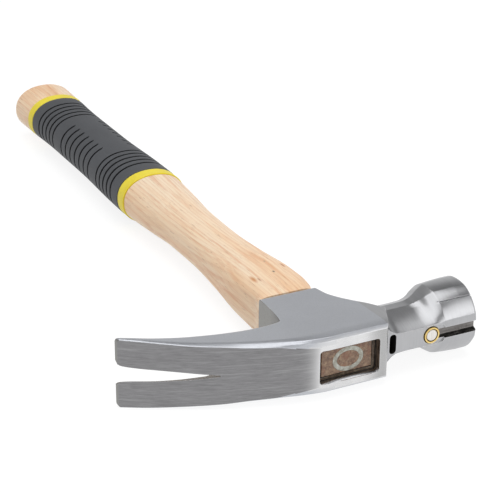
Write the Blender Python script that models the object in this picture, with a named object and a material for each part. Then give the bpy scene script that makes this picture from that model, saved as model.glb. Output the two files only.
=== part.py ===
"""Straight claw hammer with a wooden handle, lying on its side.

Head frame: X runs from the claws to the striking face, Y from the front of the eye
down the handle to the butt, and Z is the width of the head. The origin of that frame
is the middle of the eye's front opening. An empty carries all of it, so that the
finished hammer stands on z = 0 with its bounding box centred on the origin.
All sizes are metres.
"""

import math

import bmesh
import bpy
import numpy as np

# Overall sizes
FACE_X = 0.0643  # eye centre to the striking face
CLAW_REACH = 0.0864  # eye centre to the claw tips
HANDLE_LENGTH = 0.3400  # front of the eye to the butt
CLEARANCE = 0.0003  # gap between two pieces that touch

# Eye and skirt
EYE_HALF_X = 0.0137
EYE_HALF_Z = 0.0075
EYE_MIDDLE_X = 0.0008  # the eye's opening is a little towards the poll
EYE_END_HALF_X = 0.0096
EYE_END_HALF_Z = 0.0076
EYE_CORNER = 0.0014
EYE_CHAMFER = 0.0006
SKIRT_END_Y = 0.0480
SKIRT_CLAW_X = -0.0154
SKIRT_POLL_X = 0.0104
SKIRT_HALF = 0.0104
CHEEK_HALF = 0.0126
CHEEK_END_X = 0.0182  # where the cheeks' slanted end wall leaves the front
CHEEK_END_SLANT = 0.50
CHEEK_BLOCK_END = 0.0270

# Claws
TIP_HALF = 0.0152
TIP_FRONT_Y = 0.0322
TIP_THICKNESS = 0.0022
TIP_ROUND = 0.0010  # rounding of the tips' corners
SLOT_HALF = 0.0035  # half the nail slot's width at the tips
SLOT_DEPTH = 0.0352
SLOT_APEX_HALF = 0.0003
SLOT_DRAFT = 0.46  # how much each wall of the slot leans back, as width over depth
SLOT_REACH = 0.0170  # depth to which the slot is cut, past the claws' backs
SLOT_POINTS = 12

# Poll
POLL_Y = 0.0190  # distance of the poll's axis behind the eye's front
BELL_RADIUS = 0.0154
BELL_START_X = 0.0488
FACE_CHAMFER = 0.0012
FACET_ANGLES = (20, 51, 73, 107, 129, 160)  # degrees from -Y towards +Z
FLUTED = (1, 4)  # facet lines that are cut as flutes in the bell
FLUTE_DEPTH = 0.0008
LOBE_RISE = 0.05  # rise of a bell lobe as a share of its width
NECK_HALF = 0.0087
NECK_REAR = 0.0092
NECK_ROOT = 0.0028  # how much the neck widens each way into the cheeks
STRIP_Y = 0.0048  # plane of the flat strip round the magnet
STRIP_HALF = 0.0043
STRIP_ROOT = 0.0046  # how much the strip widens each way into the cheeks

# Nail starter: seat for the nail's head, magnet in its cup, and groove to the face
POCKET_X = 0.0237
POCKET_HALF_X = 0.0016
POCKET_HALF_Z = 0.0044
POCKET_DEPTH = 0.0050
MAGNET_X = 0.0424
MAGNET_RADIUS = 0.0025
MAGNET_LENGTH = 0.0045
CUP_RADIUS = 0.0036
CUP_FLOOR = 0.0010
CUP_PROUD = 0.0004
GROOVE_HALF = 0.0026
GROOVE_FLOOR_HALF = 0.0016
GROOVE_DEPTH = 0.0030

# Handle
TENON_RECESS = 0.0028  # how far the wood ends behind the eye's front
TENON_STEP_Y = 0.0110  # the tenon is thinner in front of this, for the resin
RESIN_WALL = 0.0012
HANDLE_POINTS = 36
HANDLE_LEAN = 0.0010  # how far the butt stands off the head's middle, towards the poll
BUTT_ROUND = 0.0030

# Grip
GRIP_END_Y = HANDLE_LENGTH - 0.0204
GRIP_START_Y = GRIP_END_Y - 0.1306
FRONT_BAND_WIDTH = 0.0070
REAR_BAND_WIDTH = 0.0059
GRIP_WALL = 0.0020
GRIP_PROUD = 0.0006
BAND_PROUD = 0.0005
RIB_GROOVE_DEPTH = 0.0009
RIB_GROOVE_WIDTH = 0.0017
RIB_PITCH = 0.0048
END_RIBS = 5
SIDE_RIBS = 7
END_RIB_MARGIN = 0.0091  # from a band to the middle of its nearest groove
SIDE_PITCH = 0.0062
PANEL_SHARE = 0.46  # half width of the panel without grooves, as a share of the grip's

# Ring wedge
RING_X = 0.0013  # the ring sits a little towards the poll
RING_HALF_X = 0.0072
RING_HALF_Z = 0.0056
RING_WALL = 0.0022
RING_EDGE = 0.0006
RING_LENGTH = 0.0120
RING_POINTS = 40


def clear_scene():
    for obj in list(bpy.data.objects):
        bpy.data.objects.remove(obj, do_unlink=True)


def make_material(name, color, roughness, metallic):
    mat = bpy.data.materials.new(name)
    mat.use_nodes = True
    shader = mat.node_tree.nodes["Principled BSDF"]
    shader.inputs["Base Color"].default_value = (*color, 1.0)
    shader.inputs["Roughness"].default_value = roughness
    shader.inputs["Metallic"].default_value = metallic
    return mat


def smooth_curve(keys, x):
    """Monotone cubic through (place, value) keys, held level past both ends."""
    xs = np.array([k[0] for k in keys], float)
    ys = np.array([k[1] for k in keys], float)
    if x <= xs[0]:
        return float(ys[0])
    if x >= xs[-1]:
        return float(ys[-1])
    steps = np.diff(xs)
    slopes = np.diff(ys) / steps
    tangents = np.zeros(len(xs))
    tangents[0], tangents[-1] = slopes[0], slopes[-1]
    for i in range(1, len(xs) - 1):
        if slopes[i - 1] * slopes[i] > 0:
            w1 = 2 * steps[i] + steps[i - 1]
            w2 = steps[i] + 2 * steps[i - 1]
            tangents[i] = (w1 + w2) / (w1 / slopes[i - 1] + w2 / slopes[i])
    i = int(np.searchsorted(xs, x) - 1)
    t = (x - xs[i]) / steps[i]
    start = (2 * t**3 - 3 * t**2 + 1) * ys[i] + (t**3 - 2 * t**2 + t) * steps[i] * tangents[i]
    end = (3 * t**2 - 2 * t**3) * ys[i + 1] + (t**3 - t**2) * steps[i] * tangents[i + 1]
    return float(start + end)


def rounded_outline(corners, reach, steps):
    """Closed outline with each corner replaced by an arc that begins reach before it.

    reach is held under half of the shorter side at each corner.
    """
    outline = []
    count = len(corners)
    for i, corner in enumerate(corners):
        here = np.array(corner, float)
        before = np.array(corners[i - 1], float) - here
        after = np.array(corners[(i + 1) % count], float) - here
        length_before = np.linalg.norm(before)
        length_after = np.linalg.norm(after)
        t = min(reach, 0.4999 * length_before, 0.4999 * length_after)
        start = here + before / length_before * t
        end = here + after / length_after * t
        cosine = np.clip(before @ after / (length_before * length_after), -1, 1)
        weight = math.sin(math.acos(cosine) / 2)
        for k in range(steps + 1):
            s = k / steps
            b0, b1, b2 = (1 - s) ** 2, 2 * s * (1 - s) * weight, s**2
            outline.append((b0 * start + b1 * here + b2 * end) / (b0 + b1 + b2))
    return outline


def bridge(name, rings, closed):
    """Mesh through rings of equal count: a tube's walls when closed, else capped at both ends."""
    mesh = bpy.data.meshes.new(name)
    bm = bmesh.new()
    rows = [[bm.verts.new(p) for p in ring] for ring in rings]
    count = len(rows[0])
    pairs = list(zip(rows, rows[1:]))
    if closed:
        pairs.append((rows[-1], rows[0]))
    else:
        bm.faces.new(rows[0][::-1])
        bm.faces.new(rows[-1])
    for first, second in pairs:
        for i in range(count):
            j = (i + 1) % count
            bm.faces.new((first[i], first[j], second[j], second[i]))
    bmesh.ops.recalc_face_normals(bm, faces=bm.faces)
    bm.to_mesh(mesh)
    bm.free()
    return bpy.data.objects.new(name, mesh)


def loft(name, rings):
    return bridge(name, rings, closed=False)


def tube(name, outer, inner):
    """Tube whose outer rings run front to back, and whose inner rings do too."""
    return bridge(name, [*outer, *inner[::-1]], closed=True)


def prism(name, outline, axis, low, high):
    """Outline of (u, v) pairs pushed along X, Y or Z: u and v are the other two axes in order."""
    place = {
        "X": lambda u, v, w: (w, u, v),
        "Y": lambda u, v, w: (u, w, v),
        "Z": lambda u, v, w: (u, v, w),
    }[axis]
    return loft(name, [[place(u, v, w) for u, v in outline] for w in (low, high)])


def cylinder(name, x, radius, low, high, points):
    """Cylinder along Y whose axis passes through (x, 0)."""
    bpy.ops.mesh.primitive_cylinder_add(
        vertices=points,
        radius=radius,
        depth=high - low,
        location=(x, (low + high) / 2, 0),
        rotation=(math.pi / 2, 0, 0),
    )
    obj = bpy.context.object
    obj.name = name
    return obj


def boolean(target, tool, operation):
    modifier = target.modifiers.new(tool.name, "BOOLEAN")
    modifier.operation = operation
    modifier.object = tool


# Head


def block_front(x):
    return smooth_curve(
        [
            (-CLAW_REACH, TIP_FRONT_Y),
            (-0.840 * CLAW_REACH, 0.0233),
            (-0.667 * CLAW_REACH, 0.0152),
            (-0.493 * CLAW_REACH, 0.0090),
            (-0.320 * CLAW_REACH, 0.0040),
            (-0.0170, 0.0012),
            (-0.0080, 0.0),
            (CHEEK_BLOCK_END, 0.0),
        ],
        x,
    )


def block_back(x):
    return smooth_curve(
        [
            (-CLAW_REACH, TIP_FRONT_Y + TIP_THICKNESS),
            (-0.840 * CLAW_REACH, 0.0290),
            (-0.667 * CLAW_REACH, 0.0262),
            (-0.493 * CLAW_REACH, 0.0245),
            (-0.320 * CLAW_REACH, 0.0238),
            (SKIRT_CLAW_X - 0.0034, 0.0248),
            (SKIRT_CLAW_X - 0.0018, 0.0310),
            (SKIRT_CLAW_X - 0.0008, 0.0400),
            (SKIRT_CLAW_X, SKIRT_END_Y),
            (SKIRT_POLL_X, SKIRT_END_Y),
            (SKIRT_POLL_X + 0.0012, 0.0410),
            (SKIRT_POLL_X + 0.0034, 0.0356),
            (SKIRT_POLL_X + 0.0070, 0.0296),
            (SKIRT_POLL_X + 0.0110, 0.0240),
            (CHEEK_BLOCK_END - 0.0018, 0.0174),
            (CHEEK_BLOCK_END, 0.0152),
        ],
        x,
    )


def block_section(x):
    """Outline across the claws and cheeks at x, in (y, z): a rectangle with its corners cut."""
    front = block_front(x)
    back = block_back(x)
    half = smooth_curve(
        [
            (-CLAW_REACH, TIP_HALF - TIP_ROUND),
            (TIP_ROUND * 0.3 - CLAW_REACH, TIP_HALF - 0.4 * TIP_ROUND),
            (TIP_ROUND - CLAW_REACH, TIP_HALF),
            (-0.0576, 0.0138),
            (-0.0276, 0.0128),
            (-0.0100, CHEEK_HALF),
        ],
        x,
    )
    bevel_y = smooth_curve([(-CLAW_REACH, 0.0003), (-0.0576, 0.0012), (-0.0200, 0.0022)], x)
    bevel_z = smooth_curve([(-CLAW_REACH, 0.0003), (-0.0576, 0.0012), (-0.0200, 0.0028)], x)
    rear_bevel = smooth_curve([(-CLAW_REACH, 0.0003), (-0.0400, 0.0018), (SKIRT_CLAW_X, 0.0010)], x)
    taper = (CHEEK_HALF - SKIRT_HALF) / SKIRT_END_Y
    half_back = half - taper * (back - rear_bevel - front - bevel_y)
    return [
        (front, half - bevel_z),
        (front + bevel_y, half),
        (back - rear_bevel, half_back),
        (back, half_back - rear_bevel),
        (back, rear_bevel - half_back),
        (back - rear_bevel, -half_back),
        (front + bevel_y, -half),
        (front, bevel_z - half),
    ]


def block_stations():
    """Places along X for the block's sections, close together where it changes fast."""
    stops = [
        (-CLAW_REACH, TIP_ROUND - CLAW_REACH, 3),
        (TIP_ROUND - CLAW_REACH, -0.0200, 12),
        (-0.0200, SKIRT_CLAW_X, 7),
        (SKIRT_CLAW_X, SKIRT_POLL_X, 2),
        (SKIRT_POLL_X, SKIRT_POLL_X + 0.0034, 4),
        (SKIRT_POLL_X + 0.0034, CHEEK_BLOCK_END, 6),
    ]
    places = []
    for low, high, count in stops:
        places.extend(np.linspace(low, high, count, endpoint=False))
    return [*places, CHEEK_BLOCK_END]


def make_block():
    """Claws, cheeks and skirt, as one body along X."""
    rings = []
    for x in block_stations():
        reach = smooth_curve([(-CLAW_REACH, 0.0003), (-0.0300, 0.0011)], x)
        rings.append([(x, y, z) for y, z in rounded_outline(block_section(x), reach, 2)])
    return loft("head", rings)


def make_cheek_end_cutter():
    """Slanted end wall of the cheeks, with a rounded edge to the front."""
    front = -0.0003
    far = 0.0600
    corner = CHEEK_END_X + CHEEK_END_SLANT * front
    depth = (far - CHEEK_END_X) / CHEEK_END_SLANT
    arc = rounded_outline(
        [(corner - 0.0060, front), (corner, front), (corner + 0.0060, front + 0.0060 / CHEEK_END_SLANT)],
        0.0024,
        4,
    )[5:10]
    outline = [(corner - 0.0060, front - 0.0050), (corner - 0.0060, front), *arc]
    outline += [(far, depth), (far, front - 0.0050)]
    return prism("cheek_end_cutter", outline, "Z", -0.0200, 0.0200)


def poll_corners(x):
    """Facet corners of the poll's section for z above 0, in (y, z) from its axis."""
    flare = smooth_curve(
        [
            (BELL_START_X - 0.0145, 0.0),
            (BELL_START_X - 0.0102, 0.03),
            (BELL_START_X - 0.0078, 0.12),
            (BELL_START_X - 0.0058, 0.28),
            (BELL_START_X - 0.0036, 0.56),
            (BELL_START_X - 0.0015, 0.80),
            (BELL_START_X + 0.0008, 0.90),
            (BELL_START_X + 0.0050, 0.965),
            (BELL_START_X + 0.0100, 1.0),
        ],
        x,
    )
    root = smooth_curve(
        [(0.0180, NECK_ROOT), (0.0212, 0.45 * NECK_ROOT), (0.0235, 0.2 * NECK_ROOT), (0.0270, 0.0)], x
    )
    strip_root = smooth_curve(
        [
            (0.0180, STRIP_ROOT),
            (0.0212, 0.67 * STRIP_ROOT),
            (0.0232, 0.27 * STRIP_ROOT),
            (0.0262, 0.04 * STRIP_ROOT),
            (0.0300, 0.0),
        ],
        x,
    )
    neck = [
        (STRIP_Y - POLL_Y, STRIP_HALF + strip_root),
        (-0.33 * NECK_HALF, 0.96 * NECK_HALF + root),
        (-0.11 * NECK_HALF, NECK_HALF + root),
        (0.38 * NECK_HALF, NECK_HALF + 0.7 * root),
        (0.76 * NECK_REAR, 0.84 * NECK_HALF + 0.4 * root),
        (NECK_REAR, 0.50 * NECK_HALF + 0.4 * root),
    ]
    corners = []
    for angle, (y, z) in zip(FACET_ANGLES, neck):
        a = math.radians(angle)
        corners.append(
            (
                y + flare * (-BELL_RADIUS * math.cos(a) - y),
                z + flare * (BELL_RADIUS * math.sin(a) - z),
            )
        )
    return corners, flare


def poll_outline(x, shrink):
    """Section of the poll at x: flat facets at the neck, convex lobes at the bell."""
    half, flare = poll_corners(x)
    corners = half + [(y, -z) for y, z in half[::-1]]
    flute = smooth_curve([(BELL_START_X - 0.0010, 0.0), (BELL_START_X + 0.0012, FLUTE_DEPTH)], x)
    fluted = [i for k in FLUTED for i in (k, len(corners) - 1 - k)]
    outline = []
    for i, corner in enumerate(corners):
        here = np.array(corner)
        along = np.array(corners[(i + 1) % len(corners)]) - here
        out = np.array([-along[1], along[0]])
        pull = flute / np.linalg.norm(here) if i in fluted else 0.0
        outline.append(here * (1 - pull))
        for t in (0.1, 0.35, 0.65, 0.9):
            rise = 4 * t * (1 - t) * LOBE_RISE * flare
            outline.append(here + along * t + out * rise)
    scale = 1 - shrink / BELL_RADIUS
    return [(x, POLL_Y + scale * y, scale * z) for y, z in outline]


def bell_half_width():
    return max(z for _, _, z in poll_outline(FACE_X - FACE_CHAMFER, 0.0))


def make_poll():
    """Neck and bell, from inside the cheeks to the striking face."""
    places = [0.0145, 0.0180, 0.0198, 0.0212, 0.0222, 0.0234, 0.0248, 0.0265, 0.0300]
    places += list(np.linspace(BELL_START_X - 0.0145, BELL_START_X, 12))
    places += [BELL_START_X + step for step in (0.0006, 0.0012, 0.0030, 0.0060, 0.0100)]
    rings = [poll_outline(x, 0.0) for x in places]
    rings.append(poll_outline(FACE_X - FACE_CHAMFER, 0.0))
    rings.append(poll_outline(FACE_X - 0.35 * FACE_CHAMFER, 0.35 * FACE_CHAMFER))
    rings.append(poll_outline(FACE_X, FACE_CHAMFER))
    return loft("poll", rings)


def rectangle(half_u, half_v, corner, steps=3):
    """Rounded rectangle about the origin."""
    corners = [(half_u, half_v), (-half_u, half_v), (-half_u, -half_v), (half_u, -half_v)]
    return rounded_outline(corners, corner, steps)


def eye_outline(y, grow=0.0):
    """The eye's outline in (x, z) at depth y, grown outwards by grow."""
    share = y / SKIRT_END_Y
    middle = EYE_MIDDLE_X + share * ((SKIRT_POLL_X + SKIRT_CLAW_X) / 2 - EYE_MIDDLE_X)
    half_x = EYE_HALF_X + share * (EYE_END_HALF_X - EYE_HALF_X) + grow
    half_z = EYE_HALF_Z + share * (EYE_END_HALF_Z - EYE_HALF_Z) + grow
    corner = max(EYE_CORNER + grow, 0.0002)
    return [(middle + x, y, z) for x, z in rectangle(half_x, half_z, corner)]


def make_eye_cutter():
    margin = 0.0060
    rings = [eye_outline(-margin, EYE_CHAMFER + margin)]
    rings += [eye_outline(EYE_CHAMFER, 0.0), eye_outline(SKIRT_END_Y + margin, 0.0)]
    return loft("eye_cutter", rings)


def slot_outline(depth):
    """The nail slot at depth below the claws' front, a V that grows with depth, as (x, y, z)."""
    grow = SLOT_DRAFT * max(depth, 0.0)
    apex = -CLAW_REACH + SLOT_DEPTH
    margin = 0.0050
    places = np.linspace(-CLAW_REACH, apex, SLOT_POINTS)
    arm = [(-CLAW_REACH - margin, slot_half(-CLAW_REACH) + grow)]
    arm += [(x, slot_half(x) + grow) for x in places]
    round_end = SLOT_APEX_HALF + grow
    for degrees in (60, 30):
        a = math.radians(degrees)
        arm.append((apex + round_end * math.cos(a), round_end * math.sin(a)))
    half = [*arm, (apex + round_end, 0.0), *[(x, -z) for x, z in arm[::-1]]]
    return [(x, block_front(x) + depth, z) for x, z in half]


def slot_half(x):
    """Half the slot's width at the claws' front, with the tips' inner corners rounded off."""
    apex = -CLAW_REACH + SLOT_DEPTH
    return smooth_curve(
        [
            (-CLAW_REACH, SLOT_HALF + 0.8 * TIP_ROUND),
            (TIP_ROUND - CLAW_REACH, SLOT_HALF + 0.15 * TIP_ROUND),
            (4.5 * TIP_ROUND - CLAW_REACH, 0.88 * SLOT_HALF),
            (apex - 0.57 * SLOT_DEPTH, 0.67 * SLOT_HALF),
            (apex - 0.34 * SLOT_DEPTH, 0.46 * SLOT_HALF),
            (apex - 0.17 * SLOT_DEPTH, 0.27 * SLOT_HALF),
            (apex, SLOT_APEX_HALF),
        ],
        x,
    )


def make_slot_cutter():
    """Wedge that parts the two claws, wider at their backs than at their fronts."""
    front = slot_outline(0.0)
    rings = [[(x, -0.0050, z) for x, _, z in front], front, slot_outline(SLOT_REACH)]
    return loft("slot_cutter", rings)


def make_nail_groove_cutter():
    """Groove from the magnet's cup to the striking face, for the nail's shank."""
    margin = 0.0030
    surface = POLL_Y - BELL_RADIUS
    spread = GROOVE_HALF + (GROOVE_HALF - GROOVE_FLOOR_HALF) * margin / GROOVE_DEPTH
    top = surface - margin
    floor = surface + GROOVE_DEPTH
    corners = [
        (top, spread),
        (floor, GROOVE_FLOOR_HALF),
        (floor, -GROOVE_FLOOR_HALF),
        (top, -spread),
    ]
    outline = rounded_outline(corners, 0.0006, 3)
    return prism("nail_groove_cutter", outline, "X", MAGNET_X, FACE_X + 0.0050)


def make_pocket_cutter():
    """Slot beside the eye that the nail's head rests in."""
    outline = [(POCKET_X + x, z) for x, z in rectangle(POCKET_HALF_X, POCKET_HALF_Z, 0.0015)]
    return prism("pocket_cutter", outline, "Y", -0.0050, STRIP_Y + POCKET_DEPTH)


def make_head():
    head = make_block()
    boolean_tools = [
        (make_cheek_end_cutter(), "DIFFERENCE"),
        (make_poll(), "UNION"),
        (make_eye_cutter(), "DIFFERENCE"),
        (make_slot_cutter(), "DIFFERENCE"),
        (make_nail_groove_cutter(), "DIFFERENCE"),
        (make_pocket_cutter(), "DIFFERENCE"),
    ]
    floor = STRIP_Y + MAGNET_LENGTH + CUP_FLOOR + 2 * CLEARANCE
    seat = cylinder("cup_seat_cutter", MAGNET_X, CUP_RADIUS + CLEARANCE, -0.0050, floor, 40)
    boolean_tools.append((seat, "DIFFERENCE"))
    for tool, operation in boolean_tools:
        boolean(head, tool, operation)
    return head, [tool for tool, _ in boolean_tools]


# Nail starter


def make_magnet_cup():
    low = STRIP_Y - CUP_PROUD
    high = STRIP_Y + MAGNET_LENGTH + CUP_FLOOR + CLEARANCE
    cup = cylinder("magnet_cup", MAGNET_X, CUP_RADIUS, low, high, 40)
    bore_radius = MAGNET_RADIUS + CLEARANCE
    bore = cylinder("cup_bore_cutter", MAGNET_X, bore_radius, low - 0.0020, high - CUP_FLOOR, 40)
    boolean(cup, bore, "DIFFERENCE")
    return cup, bore


def make_magnet():
    low = STRIP_Y - CUP_PROUD + 0.0001
    return cylinder("magnet", MAGNET_X, MAGNET_RADIUS, low, STRIP_Y + MAGNET_LENGTH, 32)


# Handle


def waist(share):
    """Place along Y between the handle's front swelling and the swelling before the grip."""
    front = SKIRT_END_Y + 0.0270
    return front + share * (GRIP_START_Y - 0.0222 - front)


def handle_half_x(y):
    return smooth_curve(
        [
            (SKIRT_END_Y, (SKIRT_POLL_X - SKIRT_CLAW_X) / 2),
            (SKIRT_END_Y + 0.0070, 0.0137),
            (SKIRT_END_Y + 0.0140, 0.0145),
            (SKIRT_END_Y + 0.0240, 0.0148),
            (waist(0.222), 0.0135),
            (waist(0.500), 0.0124),
            (waist(0.778), 0.0128),
            (GRIP_START_Y - 0.0222, 0.0145),
            (GRIP_START_Y - 0.0072, 0.0155),
            (GRIP_START_Y + 0.0028, 0.0160),
            (GRIP_START_Y + 0.0228, 0.0158),
            (GRIP_START_Y + 0.0628, 0.0147),
            (GRIP_END_Y - 0.0323, 0.0147),
            (GRIP_END_Y - 0.0023, 0.0157),
            (GRIP_END_Y + 0.0047, 0.0163),
            (HANDLE_LENGTH, 0.0166),
        ],
        y,
    )


def handle_half_z(y):
    return smooth_curve(
        [
            (SKIRT_END_Y, SKIRT_HALF),
            (SKIRT_END_Y + 0.0100, 0.0111),
            (SKIRT_END_Y + 0.0270, 0.0113),
            (waist(0.222), 0.0102),
            (waist(0.500), 0.0094),
            (waist(0.778), 0.0097),
            (GRIP_START_Y - 0.0222, 0.0110),
            (GRIP_START_Y - 0.0072, 0.0118),
            (GRIP_START_Y + 0.0028, 0.0121),
            (GRIP_START_Y + 0.0228, 0.0120),
            (GRIP_START_Y + 0.0628, 0.0112),
            (GRIP_END_Y - 0.0323, 0.0111),
            (GRIP_END_Y - 0.0023, 0.0116),
            (GRIP_END_Y + 0.0047, 0.0122),
            (HANDLE_LENGTH, 0.0125),
        ],
        y,
    )


def handle_middle_x(y):
    skirt_middle = (SKIRT_POLL_X + SKIRT_CLAW_X) / 2
    return smooth_curve(
        [
            (SKIRT_END_Y, skirt_middle),
            (SKIRT_END_Y + 0.0070, -0.0006),
            (SKIRT_END_Y + 0.0180, 0.0),
            (HANDLE_LENGTH, HANDLE_LEAN),
        ],
        y,
    )


def oval(half_u, half_v, squareness, count):
    """Closed outline between an ellipse (squareness 2) and a rectangle (higher)."""
    points = []
    for i in range(count):
        angle = 2 * math.pi * i / count
        c, s = math.cos(angle), math.sin(angle)
        u = half_u * math.copysign(abs(c) ** (2 / squareness), c)
        v = half_v * math.copysign(abs(s) ** (2 / squareness), s)
        points.append((u, v))
    return points


def handle_ring(y, grow=0.0):
    """The handle's outline at y, grown outwards by grow."""
    squareness = smooth_curve(
        [
            (SKIRT_END_Y, 7.0),
            (SKIRT_END_Y + 0.0080, 4.5),
            (SKIRT_END_Y + 0.0270, 3.2),
            (waist(0.500), 2.5),
            (GRIP_START_Y - 0.0222, 2.2),
        ],
        y,
    )
    middle = handle_middle_x(y)
    half_x = handle_half_x(y) + grow
    half_z = handle_half_z(y) + grow
    return [(middle + u, y, v) for u, v in oval(half_x, half_z, squareness, HANDLE_POINTS)]


def make_handle():
    """Wooden handle: body with a recess for the grip, and a tenon in the eye."""
    recess = GRIP_WALL - GRIP_PROUD + CLEARANCE
    shoulder = SKIRT_END_Y + 0.0080
    places = [(y, 0.0) for y in np.linspace(SKIRT_END_Y + CLEARANCE, shoulder, 4, endpoint=False)]
    places += [(y, 0.0) for y in np.linspace(shoulder, GRIP_START_Y, 16)]
    places += [(y, -recess) for y in np.linspace(GRIP_START_Y + 0.0001, GRIP_END_Y - 0.0001, 9)]
    round_start = HANDLE_LENGTH - BUTT_ROUND
    places += [(y, 0.0) for y in np.linspace(GRIP_END_Y, round_start, 3)]
    for k in range(1, 6):
        a = math.radians(18 * k)
        places.append((round_start + BUTT_ROUND * math.sin(a), -BUTT_ROUND * (1 - math.cos(a))))
    body = loft("handle", [handle_ring(y, grow) for y, grow in places])
    stepped = 2 * CLEARANCE + RESIN_WALL
    tenon_places = [
        (TENON_RECESS, stepped),
        (TENON_STEP_Y, stepped),
        (TENON_STEP_Y + 0.0001, CLEARANCE),
        (SKIRT_END_Y, CLEARANCE),
        (SKIRT_END_Y + 0.0040, CLEARANCE),
    ]
    tenon = loft("tenon", [eye_outline(y, -shrink) for y, shrink in tenon_places])
    boolean(body, tenon, "UNION")
    groove = make_ring_solid("ring_groove_cutter", CLEARANCE, TENON_RECESS - 0.0040)
    boolean(body, groove, "DIFFERENCE")
    return body, [tenon, groove]


def make_resin_seal():
    """Collar of set resin between the tenon's front and the eye."""
    front = TENON_RECESS + 0.0002
    back = TENON_STEP_Y - CLEARANCE
    outer = [eye_outline(y, -CLEARANCE) for y in (front, back)]
    inner = [eye_outline(y, -CLEARANCE - RESIN_WALL) for y in (front, back)]
    return tube("resin_seal", outer, inner)


def make_ring_solid(name, grow, front):
    """Oval ring driven into the tenon's end, thinning to its inner edge."""
    back = TENON_RECESS + RING_LENGTH + grow
    middle = (RING_WALL - RING_EDGE) / 2

    def ring(y, inset):
        outline = oval(RING_HALF_X - inset, RING_HALF_Z - inset, 2.0, RING_POINTS)
        return [(RING_X + x, y, z) for x, z in outline]

    outer = [ring(front, -grow), ring(TENON_RECESS, -grow), ring(back, middle - grow)]
    inner = [
        ring(front, RING_WALL + grow),
        ring(TENON_RECESS, RING_WALL + grow),
        ring(back, middle + RING_EDGE + grow),
    ]
    if front == TENON_RECESS:
        outer, inner = outer[1:], inner[1:]
    return tube(name, outer, inner)


# Grip


def rib_grooves():
    """Middle of each groove along Y, and whether it stops short of the panels."""
    first = GRIP_START_Y + FRONT_BAND_WIDTH + END_RIB_MARGIN
    last = GRIP_END_Y - REAR_BAND_WIDTH - END_RIB_MARGIN
    grooves = [(first + i * RIB_PITCH, False) for i in range(END_RIBS)]
    grooves += [(last - i * RIB_PITCH, False) for i in range(END_RIBS)]
    middle = (first + last) / 2
    grooves += [(middle + (i - (SIDE_RIBS - 1) / 2) * SIDE_PITCH, True) for i in range(SIDE_RIBS)]
    return sorted(grooves)


def grooved_ring(y, partial):
    """Grip outline at the bottom of a groove. A partial groove leaves the two panels whole."""
    full = handle_ring(y, GRIP_PROUD)
    cut = handle_ring(y, GRIP_PROUD - RIB_GROOVE_DEPTH)
    if not partial:
        return cut
    panel = PANEL_SHARE * handle_half_x(y)
    middle = handle_middle_x(y)
    return [f if abs(f[0] - middle) < panel else c for f, c in zip(full, cut)]


def make_grip():
    front = GRIP_START_Y + FRONT_BAND_WIDTH + CLEARANCE
    back = GRIP_END_Y - REAR_BAND_WIDTH - CLEARANCE
    outer = [handle_ring(front, GRIP_PROUD)]
    for y, partial in rib_grooves():
        outer.append(handle_ring(y - RIB_GROOVE_WIDTH / 2, GRIP_PROUD))
        outer.append(grooved_ring(y, partial))
        outer.append(handle_ring(y + RIB_GROOVE_WIDTH / 2, GRIP_PROUD))
    outer.append(handle_ring(back, GRIP_PROUD))
    inner = [handle_ring(y, GRIP_PROUD - GRIP_WALL) for y in np.linspace(front, back, 9)]
    return tube("grip", outer, inner)


def make_band(name, front, width):
    """Coloured band at one end of the grip. front is its edge towards the head."""
    ends = (front + CLEARANCE, front + width - CLEARANCE / 2)
    outer = [handle_ring(y, BAND_PROUD) for y in ends]
    inner = [handle_ring(y, GRIP_PROUD - GRIP_WALL) for y in ends]
    return tube(name, outer, inner)


# Assembly


def smooth_shading(obj):
    for polygon in obj.data.polygons:
        polygon.use_smooth = True
    obj.data.set_sharp_from_angle(angle=math.radians(32))


def new_collection(name):
    collection = bpy.data.collections.new(name)
    bpy.context.scene.collection.children.link(collection)
    return collection


def move_to(obj, collection, origin):
    for owner in list(obj.users_collection):
        owner.objects.unlink(obj)
    collection.objects.link(obj)
    obj.parent = origin


def main():
    clear_scene()
    parts = new_collection("claw_hammer")
    cutters = new_collection("cutters")
    steel = make_material("forged_steel", (0.46, 0.47, 0.49), 0.38, 1.0)
    wood = make_material("hickory", (0.82, 0.62, 0.40), 0.50, 0.0)
    zinc = make_material("zinc", (0.60, 0.64, 0.60), 0.45, 1.0)
    resin = make_material("resin", (0.06, 0.045, 0.035), 0.40, 0.0)
    rubber = make_material("dark_rubber", (0.065, 0.070, 0.078), 0.70, 0.0)
    yellow = make_material("yellow_rubber", (0.85, 0.75, 0.05), 0.55, 0.0)
    brass = make_material("brass", (0.80, 0.58, 0.22), 0.30, 1.0)
    ferrite = make_material("nickel", (0.80, 0.78, 0.74), 0.30, 1.0)

    head, head_tools = make_head()
    handle, handle_tools = make_handle()
    cup, bore = make_magnet_cup()
    front_band = make_band("front_band", GRIP_START_Y, FRONT_BAND_WIDTH)
    rear_start = GRIP_END_Y - REAR_BAND_WIDTH - CLEARANCE / 2
    rear_band = make_band("rear_band", rear_start, REAR_BAND_WIDTH)
    pieces = [
        (head, steel),
        (handle, wood),
        (make_ring_solid("ring_wedge", 0.0, TENON_RECESS), zinc),
        (make_resin_seal(), resin),
        (cup, brass),
        (make_magnet(), ferrite),
        (make_grip(), rubber),
        (front_band, yellow),
        (rear_band, yellow),
    ]
    origin = bpy.data.objects.new("hammer_origin", None)
    parts.objects.link(origin)
    lowest = max(TIP_HALF, bell_half_width())
    origin.location = ((CLAW_REACH - FACE_X) / 2, -HANDLE_LENGTH / 2, lowest)
    for obj, material in pieces:
        obj.data.materials.clear()
        obj.data.materials.append(material)
        smooth_shading(obj)
        move_to(obj, parts, origin)
    for tool in [*head_tools, *handle_tools, bore]:
        move_to(tool, cutters, origin)
        tool.hide_render = True
        tool.display_type = "WIRE"


main()
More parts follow.
